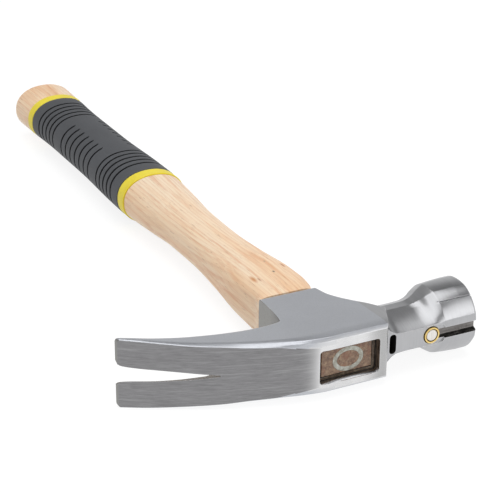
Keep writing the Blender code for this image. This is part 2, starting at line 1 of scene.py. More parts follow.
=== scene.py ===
"""Looks of the straight claw hammer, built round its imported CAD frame.

Head frame: X runs from the claws to the striking face, Y from the front of the eye
down the handle, Z is the width of the head, and the origin is the middle of the eye's
front opening. Meshes are made in that frame and moved by place() to where the CAD is.
All sizes are metres.
"""

import math

import bmesh
import bpy
import numpy as np
from mathutils import Matrix, Quaternion, Vector


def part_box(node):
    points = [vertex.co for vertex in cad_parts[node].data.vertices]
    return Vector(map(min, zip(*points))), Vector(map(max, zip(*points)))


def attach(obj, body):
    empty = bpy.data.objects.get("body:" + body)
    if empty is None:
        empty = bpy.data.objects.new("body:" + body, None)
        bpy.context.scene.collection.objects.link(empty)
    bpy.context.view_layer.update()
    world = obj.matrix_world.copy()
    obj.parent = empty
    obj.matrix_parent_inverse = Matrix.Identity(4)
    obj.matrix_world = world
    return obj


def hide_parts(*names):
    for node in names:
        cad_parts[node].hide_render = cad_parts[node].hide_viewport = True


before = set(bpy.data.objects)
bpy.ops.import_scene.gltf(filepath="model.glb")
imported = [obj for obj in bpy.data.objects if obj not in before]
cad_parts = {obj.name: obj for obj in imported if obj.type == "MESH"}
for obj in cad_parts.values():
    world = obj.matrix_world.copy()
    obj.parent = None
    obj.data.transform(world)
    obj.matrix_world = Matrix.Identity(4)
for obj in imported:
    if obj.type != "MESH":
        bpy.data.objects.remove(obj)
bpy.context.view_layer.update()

# Overall sizes
FACE_X = 0.0643
CLAW_REACH = 0.0864
HANDLE_LENGTH = 0.3400
CLEARANCE = 0.0003
HEAD_LOW, HEAD_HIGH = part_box("head")
ORIGIN = Vector(
    ((CLAW_REACH - FACE_X) / 2, -HANDLE_LENGTH / 2, (HEAD_LOW.z + HEAD_HIGH.z) / 2)
)

# Eye, skirt and cheeks. The lip's crest and ground part are shares of its depth.
EYE_HALF_X = 0.0137
EYE_HALF_Z = 0.0075
EYE_MIDDLE_X = 0.0008
EYE_END_HALF_X = 0.0096
EYE_END_HALF_Z = 0.0076
EYE_CORNER = 0.0014
EYE_LIP = 0.0006
EYE_UPPER_SHIFT = -0.0002
LIP_DEPTH = 0.0028
LIP_SWELL = 0.0005
LIP_CREST = 0.07
LIP_GROUND = 0.46
# Span along X of the lip's crest that takes the mouth's dark brown as a thin line
CREST_DARK_SPAN = (-0.0040, 0.0120)
SKIRT_END_Y = 0.0480
SKIRT_CLAW_X = -0.0154
SKIRT_POLL_X = 0.0104
SKIRT_HALF = 0.0104
CHEEK_HALF = 0.0126
CHEEK_END_X = 0.0182
CHEEK_END_SLANT = 0.50
CHEEK_END_ROUND = 0.0024
CHEEK_BLOCK_END = 0.0270

# Claws
TIP_HALF = 0.0152
TIP_FRONT_Y = 0.0322
TIP_THICKNESS = 0.0022
TIP_ROUND = 0.0010
SLOT_HALF = 0.0035
SLOT_DEPTH = 0.0352
SLOT_APEX_HALF = 0.0003
SLOT_DRAFT = 0.46
SLOT_REACH = 0.0170
SLOT_POINTS = 40

# Poll
POLL_Y = 0.0190
BELL_RADIUS = 0.0154
BELL_START_X = 0.0488
FLARE_LENGTH = 0.0145
FACE_CHAMFER = 0.0012
FACET_ANGLES = (20, 51, 73, 107, 129, 160)
FLUTED = (1, 4)
FLUTE_DEPTH = 0.0008
LOBE_RISE = 0.05
NECK_START_X = 0.0180
NECK_HALF = 0.0087
NECK_REAR = 0.0092
NECK_ROOT = 0.0028
STRIP_Y = 0.0048
STRIP_HALF = 0.0043
STRIP_ROOT = 0.0046
STRIP_SINK = 0.00018
STRIP_END_ROUND = 0.0022
CUTTER_START_Y = -0.0050

# Nail starter
POCKET_X = 0.0237
POCKET_HALF_X = 0.0016
POCKET_HALF_Z = 0.0044
POCKET_DEPTH = 0.0050
POCKET_CORNER = 0.0015
MAGNET_X = 0.0424
MAGNET_RADIUS = 0.0025
MAGNET_LENGTH = 0.0045
CUP_RADIUS = 0.0036
CUP_FLOOR = 0.0010
CUP_PROUD = 0.0004
GROOVE_HALF = 0.0026
GROOVE_FLOOR_HALF = 0.0016
GROOVE_DEPTH = 0.0030
GROOVE_ROUND = 0.0006

# Handle and what fixes it
TENON_RECESS = 0.0028
TENON_STEP_Y = 0.0110
RESIN_WALL = 0.0012
BUTT_ROUND = 0.0030
HANDLE_LEAN = 0.0010
RING_X = 0.0013
RING_HALF_X = 0.0072
RING_HALF_Z = 0.0056
RING_WALL = 0.0022
RING_EDGE = 0.0006
RING_LENGTH = 0.0120

# Grip
GRIP_END_Y = HANDLE_LENGTH - 0.0204
GRIP_START_Y = GRIP_END_Y - 0.1306
WAIST_START_Y = SKIRT_END_Y + 0.0270
WAIST_END_Y = GRIP_START_Y - 0.0222
FRONT_BAND_WIDTH = 0.0070
REAR_BAND_WIDTH = 0.0059
GRIP_WALL = 0.0020
GRIP_PROUD = 0.0006
BAND_PROUD = 0.0005
RIB_GROOVE_DEPTH = 0.0009
RIB_GROOVE_WIDTH = 0.0017
# Share of a groove's width that takes the near-black painted shade
RIB_GROOVE_SHADE = 0.8
RIB_PITCH = 0.0048
END_RIBS = 5
SIDE_RIBS = 7
END_RIB_MARGIN = 0.0091
SIDE_PITCH = 0.0062
PANEL_SHARE = 0.46

# Finishes of the head, in the order of its materials
SATIN, FRONT, POLISHED, POCKET_SHADE, STAINED, TAUPE, GROOVE_WALL, SLOT_WALL, FORGED_WITH_SHADE = range(9)

# A face points along an axis when its normal has more than this along it
FACING = 0.6

# Mesh density, and the angle in degrees over which an edge is shaded sharp
ROUND_POINTS = 96
ARC_STEPS = 4
SHARP_ANGLE = 30

# Range of a noise's usual values
NOISE_RANGE = (0.3, 0.7)

# Layers of growth in a metre of the wood
GROWTH_LAYERS = 520

# Fleck of the wood: place and half sizes in the head frame in mm, colour, strength
FLECKS = [
    ((1.8, 67.4, 11.2), (0.6, 1.1, 5.0), (86, 60, 54), 0.9),
    ((3.2, 78.5, 11.1), (0.5, 1.0, 5.0), (160, 142, 124), 0.6),
    ((9.0, 72.6, 9.4), (1.0, 3.0, 5.0), (196, 120, 66), 0.9),
    ((-9.0, 65.2, 9.2), (1.2, 4.5, 5.0), (208, 132, 64), 0.85),
    ((-7.2, 63.4, 9.8), (0.6, 2.6, 5.0), (176, 104, 58), 0.7),
]

# Light: name, place, direction it shines from, side of its square, spin in degrees, brightness
SOFTBOXES = [
    ("overhead", (-0.10, -0.10, 1.0), (0.0, 0.0, 1.0), 1.13, 45, 1.8),
    ("front", (0.585, -1.03, 0.64), (0.45, -0.75, 0.48), 0.70, 0, 1.6),
]
# Strength of the room's light, and its grey for metal at each height of a mirrored ray
ROOM_LIGHT = 0.46
ROOM_TONES = ((0.0, 0.95), (0.40, 0.82), (0.52, 0.50), (0.68, 0.10), (1.0, 0.15))

# Floor: its white to the light, then the white and the glow that the camera and metal see
FLOOR_WHITE = 0.80
FLOOR_SHOWN = 0.22
FLOOR_GLOW = 0.86

# Camera: azimuth, elevation and roll in degrees, what it looks at and from how far, and its
# focal length in pixels of a square picture with the given side
CAMERA_ANGLES = (-27.45, 24.34, 0.37)
CAMERA_TARGET = Vector((0.02531, -0.0533, 0.0157))
CAMERA_DISTANCE = 0.7852
CAMERA_FOCAL_PIXELS = 1715.7
PICTURE_SIDE = 493


def smooth_curve(keys, x):
    """Monotone cubic through (place, value) keys, held level past both ends."""
    xs = np.array([k[0] for k in keys], float)
    ys = np.array([k[1] for k in keys], float)
    if x <= xs[0]:
        return float(ys[0])
    if x >= xs[-1]:
        return float(ys[-1])
    steps = np.diff(xs)
    slopes = np.diff(ys) / steps
    tangents = np.zeros(len(xs))
    tangents[0], tangents[-1] = slopes[0], slopes[-1]
    for i in range(1, len(xs) - 1):
        if slopes[i - 1] * slopes[i] > 0:
            w1 = 2 * steps[i] + steps[i - 1]
            w2 = steps[i] + 2 * steps[i - 1]
            tangents[i] = (w1 + w2) / (w1 / slopes[i - 1] + w2 / slopes[i])
    i = int(np.searchsorted(xs, x) - 1)
    t = (x - xs[i]) / steps[i]
    start = (2 * t**3 - 3 * t**2 + 1) * ys[i] + (t**3 - 2 * t**2 + t) * steps[i] * tangents[i]
    end = (3 * t**2 - 2 * t**3) * ys[i + 1] + (t**3 - t**2) * steps[i] * tangents[i + 1]
    return float(start + end)


def rounded_outline(corners, reach, steps):
    """Closed outline with each corner replaced by an arc that begins reach before it.

    Reach is one number or one for each corner, and is kept just under half of an edge.
    """
    longest = 0.4999
    outline = []
    count = len(corners)
    reaches = reach if isinstance(reach, (list, tuple)) else [reach] * count
    for i, corner in enumerate(corners):
        here = np.array(corner, float)
        if reaches[i] == 0.0:
            outline.append(here)
            continue
        before = np.array(corners[i - 1], float) - here
        after = np.array(corners[(i + 1) % count], float) - here
        length_before = np.linalg.norm(before)
        length_after = np.linalg.norm(after)
        t = min(reaches[i], longest * length_before, longest * length_after)
        start = here + before / length_before * t
        end = here + after / length_after * t
        cosine = np.clip(before @ after / (length_before * length_after), -1, 1)
        weight = math.sin(math.acos(cosine) / 2)
        for k in range(steps + 1):
            s = k / steps
            b0, b1, b2 = (1 - s) ** 2, 2 * s * (1 - s) * weight, s**2
            outline.append((b0 * start + b1 * here + b2 * end) / (b0 + b1 + b2))
    return outline


def bridge(name, rings, closed):
    """Mesh through rings of equal count: a tube's walls when closed, else capped at both ends."""
    mesh = bpy.data.meshes.new(name)
    bm = bmesh.new()
    rows = [[bm.verts.new(p) for p in ring] for ring in rings]
    count = len(rows[0])
    pairs = list(zip(rows, rows[1:]))
    if closed:
        pairs.append((rows[-1], rows[0]))
    else:
        bm.faces.new(rows[0][::-1])
        bm.faces.new(rows[-1])
    for first, second in pairs:
        for i in range(count):
            j = (i + 1) % count
            bm.faces.new((first[i], first[j], second[j], second[i]))
    bmesh.ops.recalc_face_normals(bm, faces=bm.faces)
    bm.to_mesh(mesh)
    bm.free()
    obj = bpy.data.objects.new(name, mesh)
    bpy.context.scene.collection.objects.link(obj)
    return obj


def loft(name, rings):
    return bridge(name, rings, closed=False)


def tube(name, outer, inner):
    return bridge(name, [*outer, *inner[::-1]], closed=True)


def prism(name, outline, axis, low, high):
    """Outline of (u, v) pairs pushed along X, Y or Z: u and v are the other two axes in order."""
    put = {
        "X": lambda u, v, w: (w, u, v),
        "Y": lambda u, v, w: (u, w, v),
        "Z": lambda u, v, w: (u, v, w),
    }[axis]
    return loft(name, [[put(u, v, w) for u, v in outline] for w in (low, high)])


def circle(x, y, radius, points=64):
    angles = [2 * math.pi * i / points for i in range(points)]
    return [(x + radius * math.cos(a), y, radius * math.sin(a)) for a in angles]


def cut_and_join(obj, tools):
    """Runs the Booleans in order, keeps the result as the object's mesh and drops the tools."""
    for tool, operation in tools:
        modifier = obj.modifiers.new(tool.name, "BOOLEAN")
        modifier.operation = operation
        modifier.object = tool
    graph = bpy.context.evaluated_depsgraph_get()
    result = bpy.data.meshes.new_from_object(obj.evaluated_get(graph))
    obj.modifiers.clear()
    obj.data = result
    for tool, _ in tools:
        bpy.data.objects.remove(tool, do_unlink=True)
    return obj


def place(obj):
    """Moves a mesh from the head frame to where the CAD is, and leaves the object at the origin."""
    obj.data.transform(Matrix.Translation(ORIGIN))


def smooth(obj):
    for polygon in obj.data.polygons:
        polygon.use_smooth = True
    obj.data.set_sharp_from_angle(angle=math.radians(SHARP_ANGLE))
    weighted = obj.modifiers.new("weighted_normals", "WEIGHTED_NORMAL")
    weighted.keep_sharp = True


# Head


def block_front(x):
    keys = [
        (-CLAW_REACH, TIP_FRONT_Y),
        (-0.840 * CLAW_REACH, 0.0233),
        (-0.667 * CLAW_REACH, 0.0152),
        (-0.493 * CLAW_REACH, 0.0090),
        (-0.320 * CLAW_REACH, 0.0040),
        (-0.0170, 0.0012),
        (-0.0080, 0.0),
        (CHEEK_BLOCK_END, 0.0),
    ]
    return smooth_curve(keys, x)


def block_back(x):
    keys = [
        (-CLAW_REACH, TIP_FRONT_Y + TIP_THICKNESS),
        (-0.840 * CLAW_REACH, 0.0290),
        (-0.667 * CLAW_REACH, 0.0262),
        (-0.493 * CLAW_REACH, 0.0245),
        (-0.320 * CLAW_REACH, 0.0238),
        (SKIRT_CLAW_X - 0.0034, 0.0248),
        (SKIRT_CLAW_X - 0.0018, 0.0310),
        (SKIRT_CLAW_X - 0.0008, 0.0400),
        (SKIRT_CLAW_X, SKIRT_END_Y),
        (SKIRT_POLL_X, SKIRT_END_Y),
        (SKIRT_POLL_X + 0.0012, 0.0410),
        (SKIRT_POLL_X + 0.0034, 0.0356),
        (SKIRT_POLL_X + 0.0070, 0.0296),
        (SKIRT_POLL_X + 0.0110, 0.0240),
        (CHEEK_BLOCK_END - 0.0018, 0.0174),
        (CHEEK_BLOCK_END, 0.0152),
    ]
    return smooth_curve(keys, x)


def front_edge(x):
    """Crowned edge between a cheek and the front face, as (depth, drop) pairs.

    The first pair lies on the front face, the last where the crown runs out on the cheek.
    """
    places = [-CLAW_REACH, -0.0700, -0.0500, -0.0400, -0.0300, -0.0200, -0.0120, 0.0]
    drops = [0.0003, 0.0005, 0.0008, 0.00135, 0.0016, 0.0029, 0.0042, 0.0050]
    ridge_depths = [0.0001, 0.0005, 0.0008, 0.0008, 0.0008, 0.0007, 0.0006, 0.0006]
    ridge_drops = [0.0002, 0.00032, 0.00055, 0.0009, 0.00105, 0.0013, 0.0016, 0.0017]
    crease_depths = [0.00025, 0.00125, 0.0019, 0.0020, 0.0021, 0.0020, 0.0019, 0.0019]
    crease_drops = [0.00008, 0.00015, 0.00025, 0.0004, 0.00045, 0.0004, 0.00035, 0.00035]
    ends = [0.0005, 0.0025, 0.0039, 0.0041, 0.0044, 0.0055, 0.0065, 0.0070]

    def along(values):
        return smooth_curve(list(zip(places, values)), x)

    crease = along(crease_depths)
    end = along(ends)
    pairs = [(0.0, along(drops)), (along(ridge_depths), along(ridge_drops))]
    for share in (0.0, 0.25, 0.5, 0.75, 1.0):
        pairs.append((crease + share * (end - crease), along(crease_drops) * (1 - share) ** 1.7))
    return pairs


def block_section(x):
    """Outline across the claws and cheeks at x, in (y, z), and how far each corner is rounded."""
    front = block_front(x)
    back = block_back(x)
    keys = [
        (-CLAW_REACH, TIP_HALF - TIP_ROUND),
        (TIP_ROUND * 0.3 - CLAW_REACH, TIP_HALF - 0.4 * TIP_ROUND),
        (TIP_ROUND - CLAW_REACH, TIP_HALF),
        (-0.0576, 0.0138),
        (-0.0276, 0.0128),
        (-0.0100, CHEEK_HALF),
    ]
    half = smooth_curve(keys, x)
    flat_from = smooth_curve([(-CLAW_REACH, 0.0003), (-0.0576, 0.0012), (-0.0200, 0.0022)], x)
    rear_bevel = smooth_curve([(-CLAW_REACH, 0.0003), (-0.0400, 0.0018), (SKIRT_CLAW_X, 0.0010)], x)
    taper = (CHEEK_HALF - SKIRT_HALF) / SKIRT_END_Y
    half_back = half - taper * (back - rear_bevel - front - flat_from)
    pairs = front_edge(x)
    upper = [(front + depth, half - drop) for depth, drop in pairs[:2]]
    for depth, drop in pairs[2:]:
        upper.append((front + depth, half - drop - taper * (depth - flat_from)))
    upper += [(back - rear_bevel, half_back), (back, half_back - rear_bevel)]
    arris = smooth_curve([(-0.0300, 0.0002), (-0.0180, 0.0012)], x)
    crisp = smooth_curve([(-CLAW_REACH, 0.0001), (-0.0300, 0.00015)], x)
    soft = smooth_curve([(-CLAW_REACH, 0.0003), (-0.0300, 0.0013)], x)
    reaches = [arris, crisp, 0.0003, 0.0, 0.0, 0.0, 0.0, soft, soft]
    return upper + [(y, -z) for y, z in upper[::-1]], reaches + reaches[::-1]


def block_stations():
    stops = [
        (-CLAW_REACH, TIP_ROUND - CLAW_REACH, 6),
        (TIP_ROUND - CLAW_REACH, -0.0200, 48),
        (-0.0200, SKIRT_CLAW_X, 16),
        (SKIRT_CLAW_X, SKIRT_POLL_X, 8),
        (SKIRT_POLL_X, SKIRT_POLL_X + 0.0034, 12),
        (SKIRT_POLL_X + 0.0034, CHEEK_BLOCK_END, 16),
    ]
    places = []
    for low, high, count in stops:
        places.extend(np.linspace(low, high, count, endpoint=False))
    return [*places, CHEEK_BLOCK_END]


def make_block():
    """Claws, cheeks and skirt: crisp towards the front face, softer towards the cheeks."""
    rings = []
    for x in block_stations():
        corners, reaches = block_section(x)
        outline = rounded_outline(corners, reaches, ARC_STEPS)
        rings.append([(x, y, z) for y, z in outline])
    return loft("forged_head", rings)


def make_cheek_end_cutter():
    """Slanting cut that ends the cheeks at the neck, with a rounded corner in front."""
    front = -0.0003
    far = 0.0600
    side = 0.0200
    reach = 0.0060
    margin = 0.0050
    steps = 8
    corner = CHEEK_END_X + CHEEK_END_SLANT * front
    depth = (far - CHEEK_END_X) / CHEEK_END_SLANT
    bend = [(corner - reach, front), (corner, front), (corner + reach, front + reach / CHEEK_END_SLANT)]
    arc = rounded_outline(bend, CHEEK_END_ROUND, steps)[steps + 1 : 2 * steps + 2]
    outline = [(corner - reach, front - margin), (corner - reach, front), *arc]
    outline += [(far, depth), (far, front - margin)]
    return prism("cheek_end_cutter", outline, "Z", -side, side)


def strip_half(x):
    """Half the width of the flat strip along the front of the neck."""
    keys = [
        (NECK_START_X, STRIP_ROOT),
        (0.0212, 0.67 * STRIP_ROOT),
        (0.0232, 0.27 * STRIP_ROOT),
        (0.0262, 0.04 * STRIP_ROOT),
        (0.0300, 0.0),
    ]
    return STRIP_HALF + smooth_curve(keys, x)


def bell_share(x):
    """0 at the neck, rising to 1 at the bell."""
    shares = [
        (-FLARE_LENGTH, 0.0),
        (-0.0102, 0.03),
        (-0.0078, 0.12),
        (-0.0058, 0.28),
        (-0.0036, 0.56),
        (-0.0015, 0.77),
        (-0.0003, 0.878),
        (-0.0001, 0.894),
        (0.0001, 0.898),
        (0.0050, 0.965),
        (0.0100, 1.0),
    ]
    return smooth_curve([(BELL_START_X + offset, share) for offset, share in shares], x)


def poll_corners(x):
    """Facet corners of the poll's section for z above 0, in (y, z) from its axis."""
    flare = bell_share(x)
    keys = [
        (NECK_START_X, NECK_ROOT),
        (0.0212, 0.45 * NECK_ROOT),
        (0.0235, 0.2 * NECK_ROOT),
        (0.0270, 0.0),
    ]
    root = smooth_curve(keys, x)
    neck = [
        (STRIP_Y - POLL_Y, strip_half(x)),
        (-0.33 * NECK_HALF, 0.96 * NECK_HALF + root),
        (-0.11 * NECK_HALF, NECK_HALF + root),
        (0.38 * NECK_HALF, NECK_HALF + 0.7 * root),
        (0.76 * NECK_REAR, 0.84 * NECK_HALF + 0.4 * root),
        (NECK_REAR, 0.50 * NECK_HALF + 0.4 * root),
    ]
    corners = []
    for angle, (y, z) in zip(FACET_ANGLES, neck):
        a = math.radians(angle)
        bell_y, bell_z = -BELL_RADIUS * math.cos(a), BELL_RADIUS * math.sin(a)
        corners.append((y + flare * (bell_y - y), z + flare * (bell_z - z)))
    return corners


def poll_outline(x, shrink):
    """Section of the poll at x: flat facets at the neck, convex lobes at the bell."""
    half = poll_corners(x)
    flare = bell_share(x)
    corners = half + [(y, -z) for y, z in half[::-1]]
    flute = smooth_curve([(BELL_START_X - 0.0010, 0.0), (BELL_START_X + 0.0012, FLUTE_DEPTH)], x)
    fluted = [i for k in FLUTED for i in (k, len(corners) - 1 - k)]
    outline = []
    for i, corner in enumerate(corners):
        here = np.array(corner)
        along = np.array(corners[(i + 1) % len(corners)]) - here
        out = np.array([-along[1], along[0]])
        pull = flute / np.linalg.norm(here) if i in fluted else 0.0
        outline.append(here * (1 - pull))
        crowned = i in (0, len(corners) - 2)
        for t in (0.05, 0.1, 0.22, 0.35, 0.5, 0.65, 0.78, 0.9, 0.95):
            rise = 4 * t * (1 - t) * LOBE_RISE * (1.0 if crowned else flare**3)
            outline.append(here + along * t + out * rise)
    scale = 1 - shrink / BELL_RADIUS
    return [(x, POLL_Y + scale * y, scale * z) for y, z in outline]


def make_poll():
    """Neck and bell, from inside the cheeks to the striking face."""
    places = [0.0145, 0.0165]
    flare_start = BELL_START_X - FLARE_LENGTH
    places += list(np.linspace(NECK_START_X, 0.0280, 22))
    places += list(np.linspace(0.0290, flare_start, 5, endpoint=False))
    places += list(np.linspace(flare_start, BELL_START_X, 36))
    places += [BELL_START_X + 0.0001 * k for k in (-3, -2, -1, 1, 3, 6, 9, 12)]
    places += list(np.linspace(BELL_START_X + 0.0020, BELL_START_X + 0.0100, 10))
    rings = [poll_outline(x, 0.0) for x in sorted(places)]
    for k in range(5):
        a = math.radians(22.5 * k)
        inset = FACE_CHAMFER * (1 - math.cos(a))
        rings.append(poll_outline(FACE_X - FACE_CHAMFER * (1 - math.sin(a)), inset))
    return loft("poll", rings)


def rectangle(half_u, half_v, corner, steps=6):
    corners = [(half_u, half_v), (-half_u, half_v), (-half_u, -half_v), (half_u, -half_v)]
    return rounded_outline(corners, corner, steps)


def eye_outline(y, grow=0.0):
    """The eye's outline in (x, z) at depth y, grown outwards by grow."""
    share = y / SKIRT_END_Y
    middle = EYE_MIDDLE_X + share * ((SKIRT_POLL_X + SKIRT_CLAW_X) / 2 - EYE_MIDDLE_X)
    half_x = EYE_HALF_X + share * (EYE_END_HALF_X - EYE_HALF_X) + grow
    half_z = EYE_HALF_Z + share * (EYE_END_HALF_Z - EYE_HALF_Z) + grow
    corner = max(EYE_CORNER + grow, 0.0002)
    return [(middle + x, y, z) for x, z in rectangle(half_x, half_z, corner)]


def mouth_outline(y, upper, lower, swell):
    """The eye's outline near its mouth: its long sides moved out, and the lower one swollen in."""
    ring = eye_outline(y)
    steps = len(ring) // 4
    outline = []
    for i in range(4):
        shift = upper if i < 2 else -lower
        arc = [(px, py, pz + shift) for px, py, pz in ring[i * steps : (i + 1) * steps]]
        outline.extend(arc)
        if i % 2 == 1:
            continue
        last, following = arc[-1], ring[(i + 1) * steps]
        for k in range(1, 12):
            t = k / 12
            px = last[0] + t * (following[0] - last[0])
            bulge = 4 * t * (1 - t) * swell
            outline.append((px, y, last[2] + (bulge if i == 2 else 0.0)))
    return outline


def make_eye_cutter():
    """Eye whose lower lip is rounded over and swells a little into the opening."""
    start, stop = -0.0040, SKIRT_END_Y + 0.0060
    rings = [mouth_outline(start, EYE_UPPER_SHIFT, EYE_LIP, 0.0)]
    for share, drop, swell in ((0, 1, 0), (LIP_CREST, 0.6, 0.1), (0.18, 0.2, 0.6), (0.32, 0, 1)):
        rings.append(mouth_outline(share * LIP_DEPTH, EYE_UPPER_SHIFT, drop * EYE_LIP, swell * LIP_SWELL))
    for share, swell in ((LIP_GROUND, 1.0), (0.7, 0.7), (1.0, 0.0)):
        rings.append(mouth_outline(share * LIP_DEPTH, EYE_UPPER_SHIFT, 0.0, swell * LIP_SWELL))
    rings.append(mouth_outline(stop, 0.0, 0.0, 0.0))
    return loft("eye_cutter", rings)


def slot_outline(depth):
    """The nail slot at depth below the claws' front, a V that grows with depth, as (x, y, z)."""
    grow = SLOT_DRAFT * max(depth, 0.0)
    apex = -CLAW_REACH + SLOT_DEPTH
    margin = 0.0050
    places = np.linspace(-CLAW_REACH, apex, SLOT_POINTS)
    arm = [(-CLAW_REACH - margin, slot_half(-CLAW_REACH) + grow)]
    arm += [(x, slot_half(x) + grow) for x in places]
    round_end = SLOT_APEX_HALF + grow
    for degrees in (60, 30):
        a = math.radians(degrees)
        arm.append((apex + round_end * math.cos(a), round_end * math.sin(a)))
    half = [*arm, (apex + round_end, 0.0), *[(x, -z) for x, z in arm[::-1]]]
    return [(x, block_front(x) + depth, z) for x, z in half]


def slot_half(x):
    """Half the slot's width at the claws' front, with the tips' inner corners rounded off."""
    apex = -CLAW_REACH + SLOT_DEPTH
    keys = [
        (-CLAW_REACH, SLOT_HALF + 0.8 * TIP_ROUND),
        (TIP_ROUND - CLAW_REACH, SLOT_HALF + 0.15 * TIP_ROUND),
        (4.5 * TIP_ROUND - CLAW_REACH, 0.88 * SLOT_HALF),
        (apex - 0.57 * SLOT_DEPTH, 0.67 * SLOT_HALF),
        (apex - 0.34 * SLOT_DEPTH, 0.46 * SLOT_HALF),
        (apex - 0.17 * SLOT_DEPTH, 0.27 * SLOT_HALF),
        (apex, SLOT_APEX_HALF),
    ]
    return smooth_curve(keys, x)


def make_slot_cutter():
    """Wedge that parts the two claws, wider at their backs than at their fronts."""
    front = slot_outline(0.0)
    rings = [[(x, CUTTER_START_Y, z) for x, _, z in front], front, slot_outline(SLOT_REACH)]
    return loft("slot_cutter", rings)


def make_nail_groove_cutter():
    """Groove from the magnet's cup to the striking face, for the nail's shank."""
    margin = 0.0030
    far = 0.0700
    surface = POLL_Y - BELL_RADIUS
    spread = GROOVE_HALF + (GROOVE_HALF - GROOVE_FLOOR_HALF) * margin / GROOVE_DEPTH
    top = surface - margin
    floor = surface + GROOVE_DEPTH
    half = [(top, spread), (floor, GROOVE_FLOOR_HALF)]
    corners = half + [(y, -z) for y, z in half[::-1]]
    outline = rounded_outline(corners, GROOVE_ROUND, 5)
    return prism("nail_groove_cutter", outline, "X", MAGNET_X, far)


def make_strip_cutter():
    """Shallow milled flat along the neck's strip, with a rounded end at the bell."""
    rings = []
    floor = STRIP_Y + STRIP_SINK
    stop = BELL_START_X - 0.0002
    places = [(x, 0.0) for x in np.linspace(CHEEK_END_X + 0.0030, stop - STRIP_END_ROUND, 24)]
    for k in range(1, 7):
        a = math.radians(15 * k)
        inset = STRIP_END_ROUND * (1 - math.cos(a))
        places.append((stop - STRIP_END_ROUND * (1 - math.sin(a)), inset))
    for x, inset in places:
        half = strip_half(x) - STRIP_SINK / 3 - inset
        corners = [(CUTTER_START_Y, half), (floor, half), (floor, -half), (CUTTER_START_Y, -half)]
        rings.append([(x, y, z) for y, z in corners])
    return loft("strip_cutter", rings)


def make_pocket_cutter():
    """Slot beside the eye that the nail's head rests in."""
    outline = [(POCKET_X + x, z) for x, z in rectangle(POCKET_HALF_X, POCKET_HALF_Z, POCKET_CORNER)]
    return prism("pocket_cutter", outline, "Y", CUTTER_START_Y, STRIP_Y + POCKET_DEPTH)


def make_seat_cutter():
    floor = STRIP_Y + MAGNET_LENGTH + CUP_FLOOR + 2 * CLEARANCE
    radius = CUP_RADIUS + CLEARANCE
    return loft("cup_seat_cutter", [circle(MAGNET_X, y, radius) for y in (CUTTER_START_Y, floor)])


def make_head():
    head = make_block()
    return cut_and_join(
        head,
        [
            (make_cheek_end_cutter(), "DIFFERENCE"),
            (make_poll(), "UNION"),
            (make_eye_cutter(), "DIFFERENCE"),
            (make_slot_cutter(), "DIFFERENCE"),
            (make_strip_cutter(), "DIFFERENCE"),
            (make_nail_groove_cutter(), "DIFFERENCE"),
            (make_pocket_cutter(), "DIFFERENCE"),
            (make_seat_cutter(), "DIFFERENCE"),
        ],
    )


def in_eye(x, y, z, normal):
    """True on the walls of the eye's mouth, in front of the resin."""
    inside_x = abs(x - EYE_MIDDLE_X) < EYE_HALF_X + 0.0002
    inside_z = abs(z) < EYE_HALF_Z + EYE_LIP + 0.0001
    return inside_x and inside_z and 0.00003 < y < TENON_STEP_Y and normal[1] > -0.85


def eye_finish(x, y, normal):
    """The lower lip is ground and the rest of the mouth is stained; along part of the lip's crest the same
    dark brown is given as a thin line.
    """
    beyond = normal[2] < 0.3 or y > LIP_GROUND * LIP_DEPTH
    crest = y < LIP_CREST * LIP_DEPTH and CREST_DARK_SPAN[0] < x < CREST_DARK_SPAN[1]
    return STAINED if beyond or crest else POLISHED


def groove_finish(y, normal):
    floor = POLL_Y - BELL_RADIUS + GROOVE_DEPTH
    if abs(normal[2]) < 0.5 and y > floor - 0.0006:
        return TAUPE
    return GROOVE_WALL


def in_pocket(x, y, z, normal):
    """True on the floor and walls of the pocket, and not on the slanting end of the cheeks."""
    inside = abs(x - POCKET_X) < POCKET_HALF_X + 0.00001 and abs(z) < POCKET_HALF_Z
    square = abs(normal[1]) < 0.1 or abs(normal[1]) > 0.9
    return inside and square and STRIP_Y + 0.0004 < y < STRIP_Y + POCKET_DEPTH + 0.0002


def in_slot(x, y, z):
    """True on the two walls of the nail slot."""
    wall = slot_half(x) + SLOT_DRAFT * (y - block_front(x))
    return x < -CLAW_REACH + SLOT_DEPTH + 0.0060 and abs(z) < wall + 0.0003


def in_groove(x, y, z, normal):
    """True on the floor and walls of the nail's groove."""
    floor = POLL_Y - BELL_RADIUS + GROOVE_DEPTH
    surface = STRIP_Y + STRIP_SINK if x < BELL_START_X else POLL_Y - BELL_RADIUS
    inside = x > MAGNET_X and abs(z) < GROOVE_HALF and y < floor + 0.00001
    return inside and (abs(normal[2]) > 0.3 or y > surface + 0.0007)


def head_region(center, normal):
    """Which finish a face of the head has."""
    x, y, z = center
    if in_pocket(x, y, z, normal):
        return POCKET_SHADE
    if in_groove(x, y, z, normal):
        return groove_finish(y, normal)
    if in_eye(x, y, z, normal):
        return eye_finish(x, y, normal)
    if x > CHEEK_END_X + 0.0004:
        return POLISHED
    if abs(normal[2]) > FACING and in_slot(x, y, z):
        return SLOT_WALL
    if normal[1] < -FACING and abs(normal[2]) < 0.2:
        return FRONT
    if normal[0] < -FACING and y > 0.0220:
        return FORGED_WITH_SHADE
    return SATIN


# Nail starter


def make_magnet_cup():
    low = STRIP_Y - CUP_PROUD
    high = STRIP_Y + MAGNET_LENGTH + CUP_FLOOR + CLEARANCE
    bore = MAGNET_RADIUS + CLEARANCE
    lip = 0.00025

    def lip_rings(radius, outward):
        rings = []
        for a in (math.pi / 2, math.pi / 4, 0):
            inset = outward * lip * (1 - math.cos(a))
            rings.append(circle(MAGNET_X, low + lip * (1 - math.sin(a)), radius - inset))
        return rings

    outer = [*lip_rings(CUP_RADIUS, 1), circle(MAGNET_X, high, CUP_RADIUS)]
    inner = [*lip_rings(bore, -1), circle(MAGNET_X, high - CUP_FLOOR, bore)]
    return loft("magnet_ferrule", [*inner[::-1], *outer])


